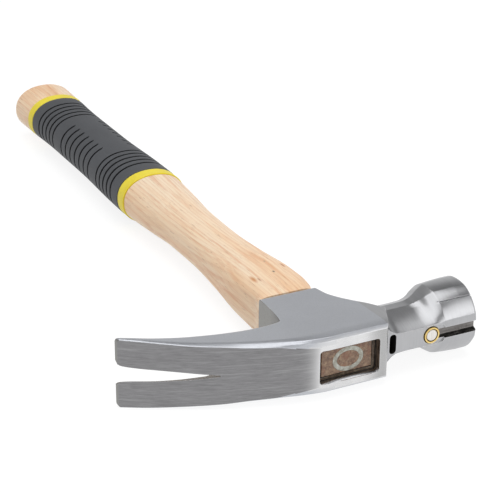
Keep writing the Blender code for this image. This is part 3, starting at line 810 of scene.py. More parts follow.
def make_magnet():
    low = STRIP_Y - CUP_PROUD + 0.0001
    lip = 0.0002
    rings = [circle(MAGNET_X, low, MAGNET_RADIUS - lip)]
    rings.append(circle(MAGNET_X, low + lip, MAGNET_RADIUS))
    rings.append(circle(MAGNET_X, STRIP_Y + MAGNET_LENGTH, MAGNET_RADIUS))
    return loft("magnet_disc", rings)


# Handle


def waist(share):
    """Place along Y between the handle's front swelling and the swelling before the grip."""
    return WAIST_START_Y + share * (WAIST_END_Y - WAIST_START_Y)


def handle_half(y, front, halves):
    """Half width at y, from keys beside the skirt and a value for each place behind them."""
    places = [
        waist(0.222),
        waist(0.500),
        waist(0.778),
        WAIST_END_Y,
        GRIP_START_Y - 0.0072,
        GRIP_START_Y + 0.0028,
        GRIP_START_Y + 0.0228,
        GRIP_START_Y + 0.0628,
        GRIP_END_Y - 0.0323,
        GRIP_END_Y - 0.0023,
        GRIP_END_Y + 0.0047,
        HANDLE_LENGTH,
    ]
    return smooth_curve(front + list(zip(places, halves)), y)


def handle_half_x(y):
    front = [
        (SKIRT_END_Y, (SKIRT_POLL_X - SKIRT_CLAW_X) / 2),
        (SKIRT_END_Y + 0.0070, 0.0137),
        (SKIRT_END_Y + 0.0140, 0.0145),
        (SKIRT_END_Y + 0.0240, 0.0148),
    ]
    halves = [0.0135, 0.0124, 0.0128, 0.0145, 0.0155, 0.0160]
    halves += [0.0158, 0.0147, 0.0147, 0.0157, 0.0163, 0.0166]
    return handle_half(y, front, halves)


def handle_half_z(y):
    front = [
        (SKIRT_END_Y, SKIRT_HALF),
        (SKIRT_END_Y + 0.0100, 0.0111),
        (WAIST_START_Y, 0.0113),
    ]
    halves = [0.0102, 0.0094, 0.0097, 0.0110, 0.0118, 0.0121]
    halves += [0.0120, 0.0112, 0.0111, 0.0116, 0.0122, 0.0125]
    return handle_half(y, front, halves)


def handle_middle_x(y):
    skirt_middle = (SKIRT_POLL_X + SKIRT_CLAW_X) / 2
    keys = [
        (SKIRT_END_Y, skirt_middle),
        (SKIRT_END_Y + 0.0070, -0.0006),
        (SKIRT_END_Y + 0.0180, 0.0),
        (HANDLE_LENGTH, HANDLE_LEAN),
    ]
    return smooth_curve(keys, y)


def oval(half_u, half_v, squareness, count):
    """Closed outline between an ellipse (squareness 2) and a rectangle (higher)."""
    points = []
    for i in range(count):
        angle = 2 * math.pi * i / count
        c, s = math.cos(angle), math.sin(angle)
        u = half_u * math.copysign(abs(c) ** (2 / squareness), c)
        v = half_v * math.copysign(abs(s) ** (2 / squareness), s)
        points.append((u, v))
    return points


def handle_ring(y, grow=0.0):
    """The handle's outline at y, grown outwards by grow."""
    keys = [
        (SKIRT_END_Y, 7.0),
        (SKIRT_END_Y + 0.0080, 4.5),
        (WAIST_START_Y, 3.2),
        (waist(0.500), 2.5),
        (WAIST_END_Y, 2.2),
    ]
    squareness = smooth_curve(keys, y)
    middle = handle_middle_x(y)
    half_x = handle_half_x(y) + grow
    half_z = handle_half_z(y) + grow
    return [(middle + u, y, v) for u, v in oval(half_x, half_z, squareness, ROUND_POINTS)]


def make_handle():
    """Wooden handle: body with a recess for the grip, and a tenon in the eye."""
    recess = GRIP_WALL - GRIP_PROUD + CLEARANCE
    edge = 0.0002
    places = [(y, 0.0) for y in np.linspace(SKIRT_END_Y + CLEARANCE, GRIP_START_Y - edge, 90)]
    places += [(GRIP_START_Y, -edge)]
    places += [(y, -recess) for y in np.linspace(GRIP_START_Y + 0.0001, GRIP_END_Y - 0.0001, 12)]
    places += [(GRIP_END_Y, -edge)]
    round_start = HANDLE_LENGTH - BUTT_ROUND
    places += [(y, 0.0) for y in np.linspace(GRIP_END_Y + edge, round_start, 8)]
    for k in range(1, 11):
        a = math.radians(9 * k)
        places.append((round_start + BUTT_ROUND * math.sin(a), -BUTT_ROUND * (1 - math.cos(a))))
    body = loft("hickory_handle", [handle_ring(y, grow) for y, grow in places])
    stepped = 2 * CLEARANCE + RESIN_WALL
    tenon_places = [
        (TENON_RECESS, stepped + 0.0002),
        (TENON_RECESS + 0.0002, stepped),
        (TENON_STEP_Y, stepped),
        (TENON_STEP_Y + 0.0001, CLEARANCE),
        (SKIRT_END_Y, CLEARANCE),
        (SKIRT_END_Y + 0.0040, CLEARANCE),
    ]
    tenon = loft("tenon", [eye_outline(y, -shrink) for y, shrink in tenon_places])
    groove = make_ring_solid("ring_groove_cutter", CLEARANCE / 3, TENON_RECESS - 0.0040)
    return cut_and_join(body, [(tenon, "UNION"), (groove, "DIFFERENCE")])


def make_resin_seal():
    """Collar of set resin between the tenon's front and the eye."""
    front = TENON_RECESS + 0.0002
    back = TENON_STEP_Y - CLEARANCE
    outer = [eye_outline(y, -CLEARANCE) for y in (front, back)]
    inner = [eye_outline(y, -CLEARANCE - RESIN_WALL) for y in (front, back)]
    return tube("resin_collar", outer, inner)


def make_ring_solid(name, grow, front):
    """Oval ring driven into the tenon's end, thinning to its inner edge."""
    back = TENON_RECESS + RING_LENGTH + grow
    middle = (RING_WALL - RING_EDGE) / 2

    def ring(y, inset):
        outline = oval(RING_HALF_X - inset, RING_HALF_Z - inset, 2.0, ROUND_POINTS)
        return [(RING_X + x, y, z) for x, z in outline]

    lip = 0.0002
    outer = [ring(front, lip - grow), ring(front + lip, -grow), ring(back, middle - grow)]
    inner = [
        ring(front, RING_WALL + grow - lip),
        ring(front + lip, RING_WALL + grow),
        ring(back, middle + RING_EDGE + grow),
    ]
    return tube(name, outer, inner)


# Grip


def rib_grooves():
    """Middle of each groove along Y, and whether it stops short of the panels."""
    first = GRIP_START_Y + FRONT_BAND_WIDTH + END_RIB_MARGIN
    last = GRIP_END_Y - REAR_BAND_WIDTH - END_RIB_MARGIN
    grooves = [(first + i * RIB_PITCH, False) for i in range(END_RIBS)]
    grooves += [(last - i * RIB_PITCH, False) for i in range(END_RIBS)]
    middle = (first + last) / 2
    grooves += [(middle + (i - (SIDE_RIBS - 1) / 2) * SIDE_PITCH, True) for i in range(SIDE_RIBS)]
    return sorted(grooves)


def grooved_ring(y, depth, partial):
    """Grip outline at a depth in a groove. A partial groove runs out before the two panels."""
    full = handle_ring(y, GRIP_PROUD)
    cut = handle_ring(y, GRIP_PROUD - depth)
    if not partial:
        return cut
    panel = PANEL_SHARE * handle_half_x(y)
    middle = handle_middle_x(y)
    points = []
    for f, c in zip(full, cut):
        share = min(max((abs(f[0] - middle) - panel) / 0.0006 + 0.5, 0.0), 1.0)
        points.append(tuple(a + (b - a) * share for a, b in zip(f, c)))
    return points


def make_grip():
    front = GRIP_START_Y + FRONT_BAND_WIDTH + CLEARANCE
    back = GRIP_END_Y - REAR_BAND_WIDTH - CLEARANCE
    lip = 0.0003
    half = RIB_GROOVE_WIDTH / 2
    profile = [(-1.0, 0.0), (-0.80, 0.10), (-0.62, 0.55), (-0.45, 0.95), (0.0, 1.0)]
    profile += [(-place, depth) for place, depth in profile[3::-1]]
    outer = [handle_ring(front, GRIP_PROUD - lip), handle_ring(front + lip, GRIP_PROUD)]
    for y, partial in rib_grooves():
        for place_share, depth_share in profile:
            depth = depth_share * RIB_GROOVE_DEPTH
            outer.append(grooved_ring(y + place_share * half, depth, partial))
    outer += [handle_ring(back - lip, GRIP_PROUD), handle_ring(back, GRIP_PROUD - lip)]
    inner = [handle_ring(y, GRIP_PROUD - GRIP_WALL) for y in np.linspace(front, back, 9)]
    return tube("ribbed_grip", outer, inner)


def make_band(name, front, width):
    """Coloured band at one end of the grip. front is its edge towards the head."""
    start, stop = front + CLEARANCE, front + width - CLEARANCE / 2
    lip = 0.0003
    profile = [(start, lip), (start + lip, 0.0), (stop - lip, 0.0), (stop, lip)]
    outer = [handle_ring(y, BAND_PROUD - inset) for y, inset in profile]
    inner = [handle_ring(y, GRIP_PROUD - GRIP_WALL) for y in (start, stop)]
    return tube(name, outer, inner)


# Materials


def set_stops(node, stops):
    """Gives a colour ramp its (place, colour) stops."""
    elements = node.color_ramp.elements
    while len(elements) < len(stops):
        elements.new(0.5)
    for element, (spot, color) in zip(elements, stops):
        element.position = spot
        element.color = (*color, 1.0)


class Graph:
    """Small helper to build a material's node tree."""

    def __init__(self, name):
        self.material = bpy.data.materials.new(name)
        self.material.use_nodes = True
        self.tree = self.material.node_tree
        self.shader = self.tree.nodes["Principled BSDF"]
        self.spot = self.add("ShaderNodeTexCoord").outputs["Object"]

    def add(self, kind, **settings):
        node = self.tree.nodes.new(kind)
        for key, value in settings.items():
            setattr(node, key, value)
        return node

    def link(self, source, target):
        self.tree.links.new(source, target)

    def feed(self, socket, value):
        """Sets a socket to a number, colour or vector, or links another node's output to it."""
        if isinstance(value, bpy.types.NodeSocket):
            self.link(value, socket)
        elif isinstance(value, tuple) and len(value) == 3 and socket.type == "RGBA":
            socket.default_value = (*value, 1.0)
        else:
            socket.default_value = value

    def scaled(self, vector, scale, shift=(0, 0, 0)):
        node = self.add("ShaderNodeMapping")
        self.link(vector, node.inputs["Vector"])
        node.inputs["Scale"].default_value = scale
        node.inputs["Location"].default_value = shift
        return node.outputs["Vector"]

    def noise(self, scale, detail=3.0, rough=0.55, stretch=None, at=None):
        """Noise over the piece, or over the vector at, drawn out along axes with a small stretch."""
        vector = self.spot if at is None else at
        if stretch is not None:
            vector = self.scaled(vector, stretch)
        node = self.add("ShaderNodeTexNoise")
        self.link(vector, node.inputs["Vector"])
        node.inputs["Scale"].default_value = scale
        node.inputs["Detail"].default_value = detail
        node.inputs["Roughness"].default_value = rough
        return node.outputs["Fac"]

    def math(self, operation, a, b=0.0, c=0.0):
        node = self.add("ShaderNodeMath", operation=operation)
        for socket, value in zip(node.inputs, (a, b, c)):
            self.feed(socket, value)
        return node.outputs["Value"]

    def fit(self, value, low, high, to_low=0.0, to_high=1.0, smooth=False):
        """Maps value from low..high to to_low..to_high, held at both ends."""
        node = self.add("ShaderNodeMapRange", interpolation_type="SMOOTHSTEP" if smooth else "LINEAR")
        self.feed(node.inputs["Value"], value)
        for key, number in zip(("From Min", "From Max", "To Min", "To Max"), (low, high, to_low, to_high)):
            node.inputs[key].default_value = number
        return node.outputs["Result"]

    def spread(self, value, low, high):
        """Maps a noise's usual range to low..high."""
        return self.fit(value, *NOISE_RANGE, low, high)

    def mix(self, factor, a, b):
        node = self.add("ShaderNodeMix", data_type="RGBA", blend_type="MIX")
        self.feed(node.inputs["Factor"], factor)
        self.feed(node.inputs[6], a)
        self.feed(node.inputs[7], b)
        return node.outputs[2]

    def tint(self, color, mask, share, shade):
        """Color turned towards shade by the given share where mask is 1."""
        return self.mix(self.math("MULTIPLY", mask, share), color, shade)

    def ramp(self, value, stops):
        """Colour ramp through (place, colour) stops."""
        node = self.add("ShaderNodeValToRGB")
        self.feed(node.inputs["Fac"], value)
        set_stops(node, stops)
        return node.outputs["Color"]

    def split(self, vector):
        node = self.add("ShaderNodeSeparateXYZ")
        self.link(vector, node.inputs["Vector"])
        return node.outputs

    def bump(self, height, distance, strength=1.0, normal=None):
        node = self.add("ShaderNodeBump")
        self.feed(node.inputs["Height"], height)
        node.inputs["Distance"].default_value = distance
        node.inputs["Strength"].default_value = strength
        if normal is not None:
            self.link(normal, node.inputs["Normal"])
        return node.outputs["Normal"]

    def rounded(self, radius):
        """Normal with sharp edges rounded to a small radius."""
        node = self.add("ShaderNodeBevel", samples=6)
        node.inputs["Radius"].default_value = radius
        return node.outputs["Normal"]

    def edges(self, radius, gain):
        """1 along convex and concave edges, 0 on open surface."""
        geometry = self.add("ShaderNodeNewGeometry").outputs["Normal"]
        node = self.add("ShaderNodeVectorMath", operation="DOT_PRODUCT")
        self.link(self.rounded(radius), node.inputs[0])
        self.link(geometry, node.inputs[1])
        return self.fit(node.outputs["Value"], 1.0, 1.0 - gain, 0.0, 1.0)

    def finish(self, color, rough, normal, **values):
        """Sets the shader's sockets. The further ones are named with underscores for spaces."""
        sockets = {"Base Color": color, "Roughness": rough, "Normal": normal}
        sockets.update((key.replace("_", " "), value) for key, value in values.items())
        for key, value in sockets.items():
            self.feed(self.shader.inputs[key], value)
        return self.material


def srgb(red, green, blue):
    """A colour given in display numbers from 0 to 255, as linear."""
    values = []
    for v in (red, green, blue):
        c = v / 255
        values.append(c / 12.92 if c <= 0.04045 else ((c + 0.055) / 1.055) ** 2.4)
    return tuple(values)


def make_satin_steel():
    """Fine blasted surface of the cheeks, with a painted highlight on the crown next to the front."""
    g = Graph("satin_steel")
    cloud = g.noise(55, 4)
    fine = g.noise(2600, 2, stretch=(1.0, 0.35, 1.0))
    pits = g.fit(g.noise(900, 3, 0.6), 0.62, 0.74)
    worn = g.edges(0.0009, 0.25)
    color = g.ramp(cloud, [(0.3, (0.500, 0.515, 0.550)), (0.7, (0.550, 0.565, 0.600))])
    color = g.tint(color, g.fit(fine, 0.4, 0.65), 0.18, (0.44, 0.45, 0.48))
    color = g.tint(color, pits, 0.25, (0.34, 0.35, 0.37))
    color = g.mix(worn, color, (0.70, 0.71, 0.73))
    # Painted highlight: a band along the crown next to the front is lightened
    crown = g.fit(g.split(g.spot)["Y"], ORIGIN.y + 0.0016, ORIGIN.y + 0.0003)
    color = g.tint(color, crown, 0.9, (0.70, 0.70, 0.705))
    rough = g.math("ADD", g.spread(cloud, 0.36, 0.42), g.spread(fine, -0.04, 0.04))
    rough = g.math("SUBTRACT", rough, g.math("MULTIPLY", worn, 0.12))
    height = g.math("SUBTRACT", fine, g.math("MULTIPLY", pits, 0.5))
    normal = g.bump(height, 0.00002, 0.5, g.rounded(0.0003))
    return g.finish(color, rough, normal, Metallic=1.0)


def rim_polish_and_highlight(g):
    """0 on the claws' front, rising to 1 on the polished rim round the eye, which also carries a painted
    highlight.
    """
    axes = g.split(g.spot)
    edge = ORIGIN.x + EYE_MIDDLE_X - EYE_HALF_X
    beside = g.fit(axes["X"], edge - 0.0110, edge + 0.0005)
    beside = g.math("POWER", beside, 3.2)
    along = g.math("SUBTRACT", axes["X"], ORIGIN.x)
    border = g.math("MULTIPLY_ADD", g.math("MULTIPLY", along, along), 5.2, 0.0076)
    height = g.math("ABSOLUTE", g.math("SUBTRACT", axes["Z"], ORIGIN.z))
    above = g.fit(g.math("SUBTRACT", height, border), 0.0, 0.0005, smooth=True)
    return g.math("MAXIMUM", beside, above)


def make_front_steel():
    """Belt ground front: grey lines along the claws, polished round the eye, with a painted highlight
    raising that rim and painted shade dimming it towards the neck.
    """
    g = Graph("front_steel")
    lines = g.noise(2400, 5, 0.8, stretch=(0.06, 0.06, 1.0))
    broad = g.noise(500, 3, stretch=(0.06, 0.06, 1.0))
    cloud = g.noise(80, 4)
    scratch = g.fit(g.noise(1100, 2, 0.5, stretch=(0.03, 0.03, 1.0)), 0.60, 0.72)
    worn = g.edges(0.0006, 0.30)
    tone = g.math("ADD", g.math("MULTIPLY", lines, 0.85), g.math("MULTIPLY", broad, 0.15))
    dull = g.ramp(tone, [(0.35, (0.180, 0.178, 0.183)), (0.65, (0.300, 0.298, 0.305))])
    dull = g.tint(dull, scratch, 0.55, (0.36, 0.36, 0.365))
    dull = g.tint(dull, worn, 0.5, (0.50, 0.50, 0.51))
    # Painted shade: the bright rim dims towards the neck
    towards_neck = g.fit(g.split(g.spot)["X"], ORIGIN.x + 0.0060, ORIGIN.x + 0.0160, smooth=True)
    # Polished rim, its grey raised further as a painted highlight
    bright = g.ramp(cloud, [(0.3, (0.66, 0.66, 0.665)), (0.7, (0.76, 0.76, 0.765))])
    bright = g.mix(towards_neck, bright, (0.44, 0.44, 0.44))
    bright = g.tint(bright, g.fit(lines, 0.4, 0.7), 0.25, (0.46, 0.46, 0.465))
    bright = g.tint(bright, worn, 0.8, (0.84, 0.84, 0.845))
    rim = rim_polish_and_highlight(g)
    color = g.mix(rim, dull, bright)
    rough = g.math("ADD", g.spread(lines, 0.30, 0.46), g.spread(cloud, -0.03, 0.03))
    rough = g.math("SUBTRACT", rough, g.math("MULTIPLY", rim, 0.10))
    depth = g.math("MULTIPLY", lines, g.fit(rim, 0.0, 1.0, 1.0, 0.3))
    normal = g.bump(depth, 0.00003, 0.7, g.rounded(0.00025))
    return g.finish(color, rough, normal, Metallic=1.0)


def make_polished_steel():
    """Linished neck, bell and edges, with faint grinding marks round the neck."""
    g = Graph("polished_steel")
    marks = g.noise(1700, 4, 0.7, stretch=(1.0, 0.05, 0.05))
    cloud = g.noise(70, 4)
    pits = g.fit(g.noise(1100, 2, 0.5), 0.66, 0.76)
    worn = g.edges(0.0007, 0.25)
    color = g.ramp(cloud, [(0.3, (0.425, 0.428, 0.440)), (0.7, (0.475, 0.478, 0.490))])
    color = g.tint(color, g.fit(marks, 0.42, 0.65), 0.30, (0.37, 0.37, 0.38))
    color = g.tint(color, pits, 0.30, (0.28, 0.275, 0.27))
    color = g.mix(worn, color, (0.62, 0.625, 0.635))
    rough = g.math("ADD", g.spread(cloud, 0.28, 0.34), g.spread(marks, -0.02, 0.04))
    normal = g.bump(marks, 0.00001, 0.12, g.rounded(0.00025))
    return g.finish(color, rough, normal, Metallic=1.0)


def make_stained_steel():
    """Wall of the eye under a brown film of the resin, with runs along its depth."""
    g = Graph("stained_steel")
    runs = g.noise(900, 4, 0.65, stretch=(1.0, 1.0, 0.12))
    grit = g.noise(1500, 3, 0.6)
    color = g.ramp(runs, [(0.35, srgb(62, 52, 44)), (0.50, srgb(96, 83, 72)), (0.66, srgb(138, 124, 108))])
    color = g.tint(color, g.fit(grit, 0.55, 0.70), 0.5, srgb(48, 38, 30))
    rough = g.spread(runs, 0.22, 0.42)
    normal = g.bump(runs, 0.0001, 0.5)
    return g.finish(color, rough, normal, Metallic=0.35)


def make_pocket_shade_steel():
    """Near-black inside of the pocket: painted shade of the recess."""
    g = Graph("pocket_shade_steel")
    grit = g.noise(900, 5, 0.7)
    # Painted shade: near black throughout the recess
    color = g.ramp(grit, [(0.35, (0.008, 0.008, 0.008)), (0.7, (0.05, 0.044, 0.038))])
    rough = g.spread(grit, 0.45, 0.7)
    normal = g.bump(grit, 0.0001, 0.6)
    return g.finish(color, rough, normal, Metallic=0.6)


def make_taupe_steel():
    """Floor of the nail's groove: a dull cut surface with lines along it."""
    g = Graph("taupe_steel")
    lines = g.noise(2200, 4, 0.7, stretch=(0.08, 1.0, 1.0))
    grit = g.noise(800, 4, 0.6)
    worn = g.edges(0.0004, 0.30)
    color = g.ramp(lines, [(0.35, (0.185, 0.175, 0.168)), (0.65, (0.300, 0.285, 0.275))])
    color = g.tint(color, g.fit(grit, 0.55, 0.7), 0.5, (0.12, 0.105, 0.095))
    color = g.tint(color, worn, g.fit(grit, 0.35, 0.55), (0.60, 0.58, 0.56))
    rough = g.spread(lines, 0.42, 0.58)
    normal = g.bump(g.math("ADD", lines, grit), 0.00005, 0.6)
    return g.finish(color, rough, normal, Metallic=0.9)


def make_groove_wall_steel():
    """Walls of the nail's groove: rough and near black, darker than its floor, with brighter torn streaks.
    """
    g = Graph("groove_wall_steel")
    streaks = g.noise(1400, 5, 0.75, stretch=(0.22, 1.0, 1.0))
    grit = g.noise(1200, 3, 0.6)
    worn = g.edges(0.0004, 0.30)
    color = g.ramp(
        streaks,
        [(0.42, (0.018, 0.017, 0.016)), (0.58, (0.075, 0.070, 0.066)), (0.70, (0.30, 0.29, 0.28))],
    )
    color = g.tint(color, worn, g.fit(streaks, 0.40, 0.55), (0.50, 0.48, 0.46))
    rough = g.spread(grit, 0.40, 0.62)
    normal = g.bump(g.math("ADD", streaks, grit), 0.0001, 0.7)
    return g.finish(color, rough, normal, Metallic=0.8)


def make_slot_steel():
    """Walls of the nail slot: brownish and unground, with darker patches."""
    g = Graph("slot_steel")
    streaks = g.noise(1300, 4, 0.7, stretch=(0.10, 1.0, 0.4))
    cloud = g.noise(150, 3)
    color = g.ramp(streaks, [(0.35, (0.10, 0.085, 0.070)), (0.65, (0.27, 0.24, 0.21))])
    color = g.tint(color, g.fit(cloud, 0.4, 0.65), 0.5, (0.07, 0.058, 0.048))
    rough = g.spread(streaks, 0.40, 0.60)
    normal = g.bump(streaks, 0.00006, 0.6)
    return g.finish(color, rough, normal, Metallic=0.85)


def make_forged_steel():
    """Side of the skirt under the claws: forging skin, slightly brown, with painted shade darkest near the
    claws.
    """
    g = Graph("forged_steel")
    cloud = g.noise(160, 4, 0.6)
    grit = g.noise(1300, 3, 0.6)
    # Painted shade: darkest nearest the claws, under their overhang
    depth = g.fit(g.split(g.spot)["Y"], ORIGIN.y + 0.0240, ORIGIN.y + 0.0360)
    color = g.ramp(cloud, [(0.3, (0.265, 0.262, 0.250)), (0.7, (0.345, 0.342, 0.330))])
    color = g.tint(color, g.fit(grit, 0.5, 0.7), 0.4, (0.20, 0.195, 0.185))
    color = g.mix(depth, (0.17, 0.168, 0.165), color)
    rough = g.spread(cloud, 0.42, 0.56)
    normal = g.bump(grit, 0.00004, 0.6, g.rounded(0.0003))
    return g.finish(color, rough, normal, Metallic=0.95)


def fleck(g, place, sizes):
    """1 inside a small soft spot of the wood, 0 outside."""
    centre = [0.001 * value + offset for value, offset in zip(place, ORIGIN)]
    scale = tuple(1000 / size for size in sizes)
    shift = tuple(-middle * factor for middle, factor in zip(centre, scale))
    node = g.add("ShaderNodeVectorMath", operation="LENGTH")
    g.link(g.scaled(g.spot, scale, shift), node.inputs[0])
    return g.fit(node.outputs["Value"], 1.0, 0.35)


def bent_grain(g):
    """Place in the wood, waved a little so that the grain is not quite straight."""
    wave = g.noise(26, 2, stretch=(1.0, 0.10, 1.0))
    bent = g.add("ShaderNodeVectorMath", operation="MULTIPLY_ADD")
    g.link(wave, bent.inputs[0])
    bent.inputs[1].default_value = (0.010, 0.0, 0.006)
    g.link(g.spot, bent.inputs[2])
    return bent.outputs["Vector"]


def late_wood(g, grain):
    """Rises to 1 through each year's growth, with the layers tilted against the handle."""
    axes = g.split(grain)
    tilted = g.math("MULTIPLY_ADD", axes["Z"], 0.35, axes["X"])
    tilted = g.math("MULTIPLY_ADD", axes["Y"], 0.02, tilted)
    phase = g.math("FRACT", g.math("MULTIPLY", tilted, GROWTH_LAYERS))
    return g.fit(phase, 0.45, 0.98, smooth=True)


def make_hickory():
    """Pale straight-grained hickory under a thin satin lacquer."""
    g = Graph("hickory")
    grain = bent_grain(g)
    late = late_wood(g, grain)
    strands = g.noise(1100, 5, 0.7, stretch=(1.0, 0.03, 1.0), at=grain)
    streaks = g.noise(380, 4, 0.65, stretch=(1.0, 0.05, 1.0), at=grain)
    broad = g.noise(85, 3, stretch=(1.0, 0.10, 1.0), at=grain)
    pores = g.fit(g.noise(2600, 2, 0.5, stretch=(1.0, 0.045, 1.0), at=grain), 0.64, 0.74)
    base = g.ramp(
        broad,
        [(0.30, srgb(244, 198, 154)), (0.46, srgb(254, 222, 186)), (0.70, srgb(255, 236, 210))],
    )
    color = g.tint(base, late, 0.34, srgb(230, 180, 136))
    color = g.tint(color, g.fit(streaks, 0.52, 0.70), 0.62, srgb(228, 160, 104))
    color = g.tint(color, g.fit(streaks, 0.48, 0.32), 0.45, srgb(255, 232, 202))
    color = g.tint(color, g.fit(strands, 0.50, 0.72), 0.40, srgb(212, 156, 112))
    color = g.tint(color, pores, 0.50, srgb(164, 112, 74))
    for place, sizes, shade, share in FLECKS:
        color = g.tint(color, fleck(g, place, sizes), share, srgb(*shade))
    rough = g.math("ADD", g.spread(strands, 0.40, 0.50), g.math("MULTIPLY", pores, 0.12))
    height = g.math("SUBTRACT", strands, g.math("MULTIPLY", pores, 0.8))
    normal = g.bump(height, 0.00006, 0.5)
    return g.finish(color, rough, normal, Coat_Weight=0.15, Coat_Roughness=0.3)


def make_end_grain():
    """End of the tenon: open pores and rays, stained brown by the resin."""
    g = Graph("end_grain")
    mottle = g.noise(620, 5, 0.7)
    patch = g.noise(260, 3, 0.6)
    speck = g.noise(1600, 3, 0.6)
    bands = g.noise(700, 3, 0.6, stretch=(0.35, 1.0, 1.0))
    color = g.ramp(
        mottle,
        [(0.34, srgb(106, 76, 54)), (0.50, srgb(142, 110, 84)), (0.66, srgb(176, 146, 116))],
    )
    color = g.tint(color, g.fit(patch, 0.5, 0.66), 0.55, srgb(146, 92, 64))
    color = g.tint(color, g.fit(bands, 0.5, 0.68), 0.40, srgb(112, 78, 56))
    color = g.tint(color, g.fit(speck, 0.56, 0.68), 0.6, srgb(70, 44, 30))
    rough = g.spread(mottle, 0.28, 0.5)
    height = g.math("ADD", mottle, g.math("MULTIPLY", speck, 0.6))
    normal = g.bump(height, 0.00012, 0.7)
    return g.finish(color, rough, normal, Coat_Weight=0.5, Coat_Roughness=0.12)


def make_wedge_steel():
    """Dull plated ring under a film of resin, in grey, buff and brown patches."""
    g = Graph("dull_zinc")
    cloud = g.noise(420, 4, 0.65)
    grit = g.noise(1500, 4, 0.7)
    color = g.ramp(
        cloud,
        [(0.34, srgb(146, 142, 130)), (0.50, srgb(180, 180, 170)), (0.66, srgb(204, 206, 200))],
    )
    color = g.tint(color, g.fit(grit, 0.52, 0.68), 0.55, srgb(120, 106, 88))
    rough = g.math("ADD", g.spread(cloud, 0.40, 0.50), g.spread(grit, -0.04, 0.06))
    normal = g.bump(g.math("ADD", cloud, grit), 0.00006, 0.6)
    return g.finish(color, rough, normal, Metallic=0.6)


def make_resin():
    """Set resin, grey brown and glossy, with cloudy runs."""
    g = Graph("set_resin")
    cloud = g.noise(500, 4, 0.65)
    runs = g.noise(1500, 3, 0.6, stretch=(0.3, 1.0, 0.3))
    color = g.ramp(
        cloud,
        [(0.32, srgb(74, 62, 50)), (0.50, srgb(106, 93, 80)), (0.70, srgb(140, 126, 108))],
    )
    color = g.tint(color, g.fit(runs, 0.5, 0.7), 0.5, srgb(58, 46, 36))
    rough = g.spread(cloud, 0.16, 0.32)
    normal = g.bump(cloud, 0.0001, 0.5)
    return g.finish(color, rough, normal, Coat_Weight=0.4, Coat_Roughness=0.1)


def make_brass():
    g = Graph("bright_brass")
    cloud = g.noise(700, 3)
    color = g.ramp(cloud, [(0.3, (0.74, 0.50, 0.16)), (0.7, (0.90, 0.70, 0.30))])
    rough = g.spread(cloud, 0.18, 0.28)
    normal = g.bump(cloud, 0.00002, 0.4)
    return g.finish(color, rough, normal, Metallic=1.0)


def make_nickel():
    g = Graph("nickel_plate")
    lines = g.noise(1700, 3, 0.6, stretch=(1.0, 1.0, 0.1))
    color = g.ramp(lines, [(0.35, (0.72, 0.69, 0.64)), (0.65, (0.88, 0.86, 0.82))])
    rough = g.spread(lines, 0.34, 0.46)
    normal = g.bump(lines, 0.00003, 0.6)
    return g.finish(color, rough, normal, Metallic=0.75)


def make_rubber():
    """Dark grey moulded rubber with a fine matt grain."""
    g = Graph("dark_rubber")
    grain = g.noise(3200, 2, 0.5)
    cloud = g.noise(60, 4)
    worn = g.edges(0.0007, 0.35)
    color = g.ramp(cloud, [(0.3, srgb(74, 76, 80)), (0.7, srgb(84, 86, 90))])
    color = g.tint(color, worn, 0.35, srgb(104, 106, 110))
    rough = g.math("ADD", g.spread(cloud, 0.56, 0.66), g.spread(grain, -0.05, 0.05))
    normal = g.bump(grain, 0.00005, 0.5)
    return g.finish(color, rough, normal, Specular_IOR_Level=0.4)


# Near-black rubber in the grip's grooves: painted shade of the narrow recesses
def make_groove_shade_rubber():
    g = Graph("groove_shade_rubber")
    grain = g.noise(2600, 2, 0.5)
    color = g.ramp(grain, [(0.3, srgb(10, 11, 13)), (0.7, srgb(24, 25, 28))])
    rough = g.spread(grain, 0.65, 0.8)
    normal = g.bump(grain, 0.00005, 0.5)
    return g.finish(color, rough, normal, Specular_IOR_Level=0.25)


def make_yellow():
    g = Graph("yellow_rubber")
    grain = g.noise(2800, 2, 0.5)
    cloud = g.noise(90, 4)
    color = g.ramp(cloud, [(0.3, srgb(240, 218, 44)), (0.7, srgb(252, 232, 66))])
    rough = g.math("ADD", g.spread(cloud, 0.42, 0.52), g.spread(grain, -0.04, 0.04))
    normal = g.bump(grain, 0.00004, 0.4)
    return g.finish(color, rough, normal)


# Pieces


def dress(obj, node, materials, region=None):
    """Places a piece, gives it its materials, and lets it stand for its CAD node."""
    obj.data.materials.clear()
    for material in materials:
        obj.data.materials.append(material)
    for polygon in obj.data.polygons:
        polygon.material_index = region(polygon.center, polygon.normal) if region else 0
    place(obj)
    smooth(obj)
    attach(obj, "root")
    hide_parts(node)


def handle_region(center, normal):
    """0 the turned wood, 1 the end grain in the eye."""
    return 1 if center[1] < TENON_STEP_Y else 0


def grip_region(center, normal):
    """0 the rubber's surface, 1 the walls and floors of its grooves, which take near-black painted shade.
    """
    x, y, _ = center
    for middle, partial in rib_grooves():
        if abs(y - middle) > RIB_GROOVE_SHADE * RIB_GROOVE_WIDTH / 2:
            continue
        if partial and abs(x - handle_middle_x(y)) < PANEL_SHARE * handle_half_x(y):
            return 0
        return 1
    return 0


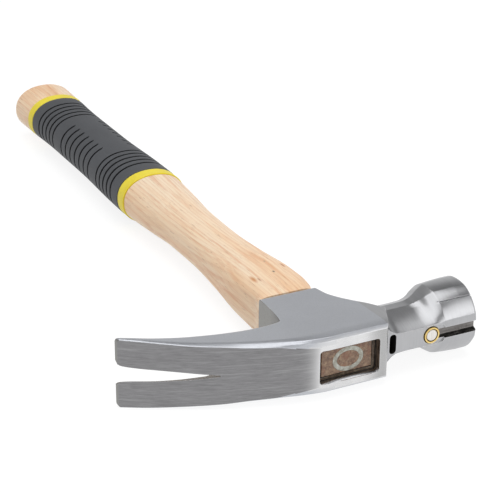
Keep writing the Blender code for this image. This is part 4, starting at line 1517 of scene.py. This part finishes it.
def make_pieces():
    steel = [
        make_satin_steel(),
        make_front_steel(),
        make_polished_steel(),
        make_pocket_shade_steel(),
        make_stained_steel(),
        make_taupe_steel(),
        make_groove_wall_steel(),
        make_slot_steel(),
        make_forged_steel(),
    ]
    yellow = make_yellow()
    dress(make_head(), "head", steel, head_region)
    dress(make_magnet_cup(), "magnet_cup", [make_brass()])
    dress(make_magnet(), "magnet", [make_nickel()])
    dress(make_handle(), "handle", [make_hickory(), make_end_grain()], handle_region)
    dress(make_ring_solid("wedge_ring", 0.0, TENON_RECESS), "ring_wedge", [make_wedge_steel()])
    dress(make_resin_seal(), "resin_seal", [make_resin()])
    dress(make_grip(), "grip", [make_rubber(), make_groove_shade_rubber()], grip_region)
    front = make_band("yellow_band_front", GRIP_START_Y, FRONT_BAND_WIDTH)
    dress(front, "front_band", [yellow])
    rear_start = GRIP_END_Y - REAR_BAND_WIDTH - CLEARANCE / 2
    rear = make_band("yellow_band_rear", rear_start, REAR_BAND_WIDTH)
    dress(rear, "rear_band", [yellow])


# Stage, camera and light


def new_node(tree, kind, **values):
    """A node with the given input values."""
    node = tree.nodes.new(kind)
    for key, value in values.items():
        node.inputs[key].default_value = value
    return node


def mix_shaders(tree, factor, first, second):
    node = tree.nodes.new("ShaderNodeMixShader")
    tree.links.new(factor, node.inputs["Fac"])
    tree.links.new(first, node.inputs[1])
    tree.links.new(second, node.inputs[2])
    return node.outputs["Shader"]


def either(tree, first, second):
    """The larger of two values."""
    node = tree.nodes.new("ShaderNodeMath")
    node.operation = "MAXIMUM"
    tree.links.new(first, node.inputs[0])
    tree.links.new(second, node.inputs[1])
    return node.outputs["Value"]


def mirror_rays(tree, path):
    """1 for the rays that metal and glass send out."""
    return either(tree, path.outputs["Is Glossy Ray"], path.outputs["Is Transmission Ray"])


def make_floor():
    """Large floor, plain white to the light. The camera and metal see it paler, with the shadow."""
    side = 6.0
    corners = [(-side, -side, 0), (side, -side, 0), (side, side, 0), (-side, side, 0)]
    mesh = bpy.data.meshes.new("floor")
    mesh.from_pydata(corners, [], [(0, 1, 2, 3)])
    floor = bpy.data.objects.new("floor", mesh)
    bpy.context.scene.collection.objects.link(floor)
    material = bpy.data.materials.new("floor_white")
    material.use_nodes = True
    tree = material.node_tree
    tree.nodes.clear()
    output = tree.nodes.new("ShaderNodeOutputMaterial")
    plain = new_node(tree, "ShaderNodeBsdfDiffuse", Color=(*[FLOOR_WHITE] * 3, 1))
    thin = new_node(tree, "ShaderNodeBsdfDiffuse", Color=(*[FLOOR_SHOWN] * 3, 1))
    glow = new_node(tree, "ShaderNodeEmission", Strength=FLOOR_GLOW)
    shown = tree.nodes.new("ShaderNodeAddShader")
    tree.links.new(thin.outputs["BSDF"], shown.inputs[0])
    tree.links.new(glow.outputs["Emission"], shown.inputs[1])
    path = tree.nodes.new("ShaderNodeLightPath")
    seen = either(tree, path.outputs["Is Camera Ray"], mirror_rays(tree, path))
    mixed = mix_shaders(tree, seen, plain.outputs["BSDF"], shown.outputs["Shader"])
    tree.links.new(mixed, output.inputs["Surface"])
    mesh.materials.append(material)


def make_world():
    """White for the camera. Metal sees a room that is white low down and dim overhead."""
    world = bpy.data.worlds.new("studio")
    bpy.context.scene.world = world
    world.use_nodes = True
    tree = world.node_tree
    tree.nodes.clear()
    lighting = new_node(tree, "ShaderNodeBackground", Strength=ROOM_LIGHT)
    mirrored = new_node(tree, "ShaderNodeBackground", Strength=1.0)
    shown = new_node(tree, "ShaderNodeBackground", Strength=1.0)
    axes = tree.nodes.new("ShaderNodeSeparateXYZ")
    tree.links.new(tree.nodes.new("ShaderNodeTexCoord").outputs["Generated"], axes.inputs["Vector"])
    ramp = tree.nodes.new("ShaderNodeValToRGB")
    tree.links.new(axes.outputs["Z"], ramp.inputs["Fac"])
    set_stops(ramp, [(height, (tone, tone, tone)) for height, tone in ROOM_TONES])
    tree.links.new(ramp.outputs["Color"], mirrored.inputs["Color"])
    path = tree.nodes.new("ShaderNodeLightPath")
    lamps = lighting.outputs["Background"]
    unseen = mix_shaders(tree, mirror_rays(tree, path), lamps, mirrored.outputs["Background"])
    camera = path.outputs["Is Camera Ray"]
    output = tree.nodes.new("ShaderNodeOutputWorld")
    seen = mix_shaders(tree, camera, unseen, shown.outputs["Background"])
    tree.links.new(seen, output.inputs["Surface"])


def make_lights():
    """Square area lights, turned about their own axis by the spin."""
    for name, spot, source, size, spin, brightness in SOFTBOXES:
        lamp = bpy.data.lights.new(name, "AREA")
        lamp.shape = "SQUARE"
        lamp.size = size
        lamp.energy = brightness * math.pi * size**2
        obj = bpy.data.objects.new(name, lamp)
        bpy.context.scene.collection.objects.link(obj)
        obj.location = spot
        facing = (-Vector(source)).to_track_quat("-Z", "Y")
        obj.rotation_mode = "QUATERNION"
        obj.rotation_quaternion = facing @ Quaternion((0, 0, 1), math.radians(spin))


def make_camera():
    """Camera at the photograph's view, from a fit to the outline of the real hammer."""
    azimuth, elevation, roll = (math.radians(a) for a in CAMERA_ANGLES)
    level_part = math.cos(elevation)
    back = Vector(
        (math.sin(azimuth) * level_part, -math.cos(azimuth) * level_part, math.sin(elevation))
    )
    level = Vector((0, 0, 1)).cross(back).normalized()
    upright = back.cross(level)
    right = level * math.cos(roll) + upright * math.sin(roll)
    up = upright * math.cos(roll) - level * math.sin(roll)
    data = bpy.data.cameras.new("camera")
    data.sensor_width = 36.0
    data.lens = CAMERA_FOCAL_PIXELS / PICTURE_SIDE * data.sensor_width
    data.clip_start, data.clip_end = 0.01, 50.0
    camera = bpy.data.objects.new("camera", data)
    bpy.context.scene.collection.objects.link(camera)
    turn = Matrix((right, up, back)).transposed().to_4x4()
    camera.matrix_world = Matrix.Translation(CAMERA_TARGET + back * CAMERA_DISTANCE) @ turn
    bpy.context.scene.camera = camera


make_pieces()
make_floor()
make_world()
make_lights()
make_camera()
bpy.context.scene.view_settings.view_transform = "Standard"
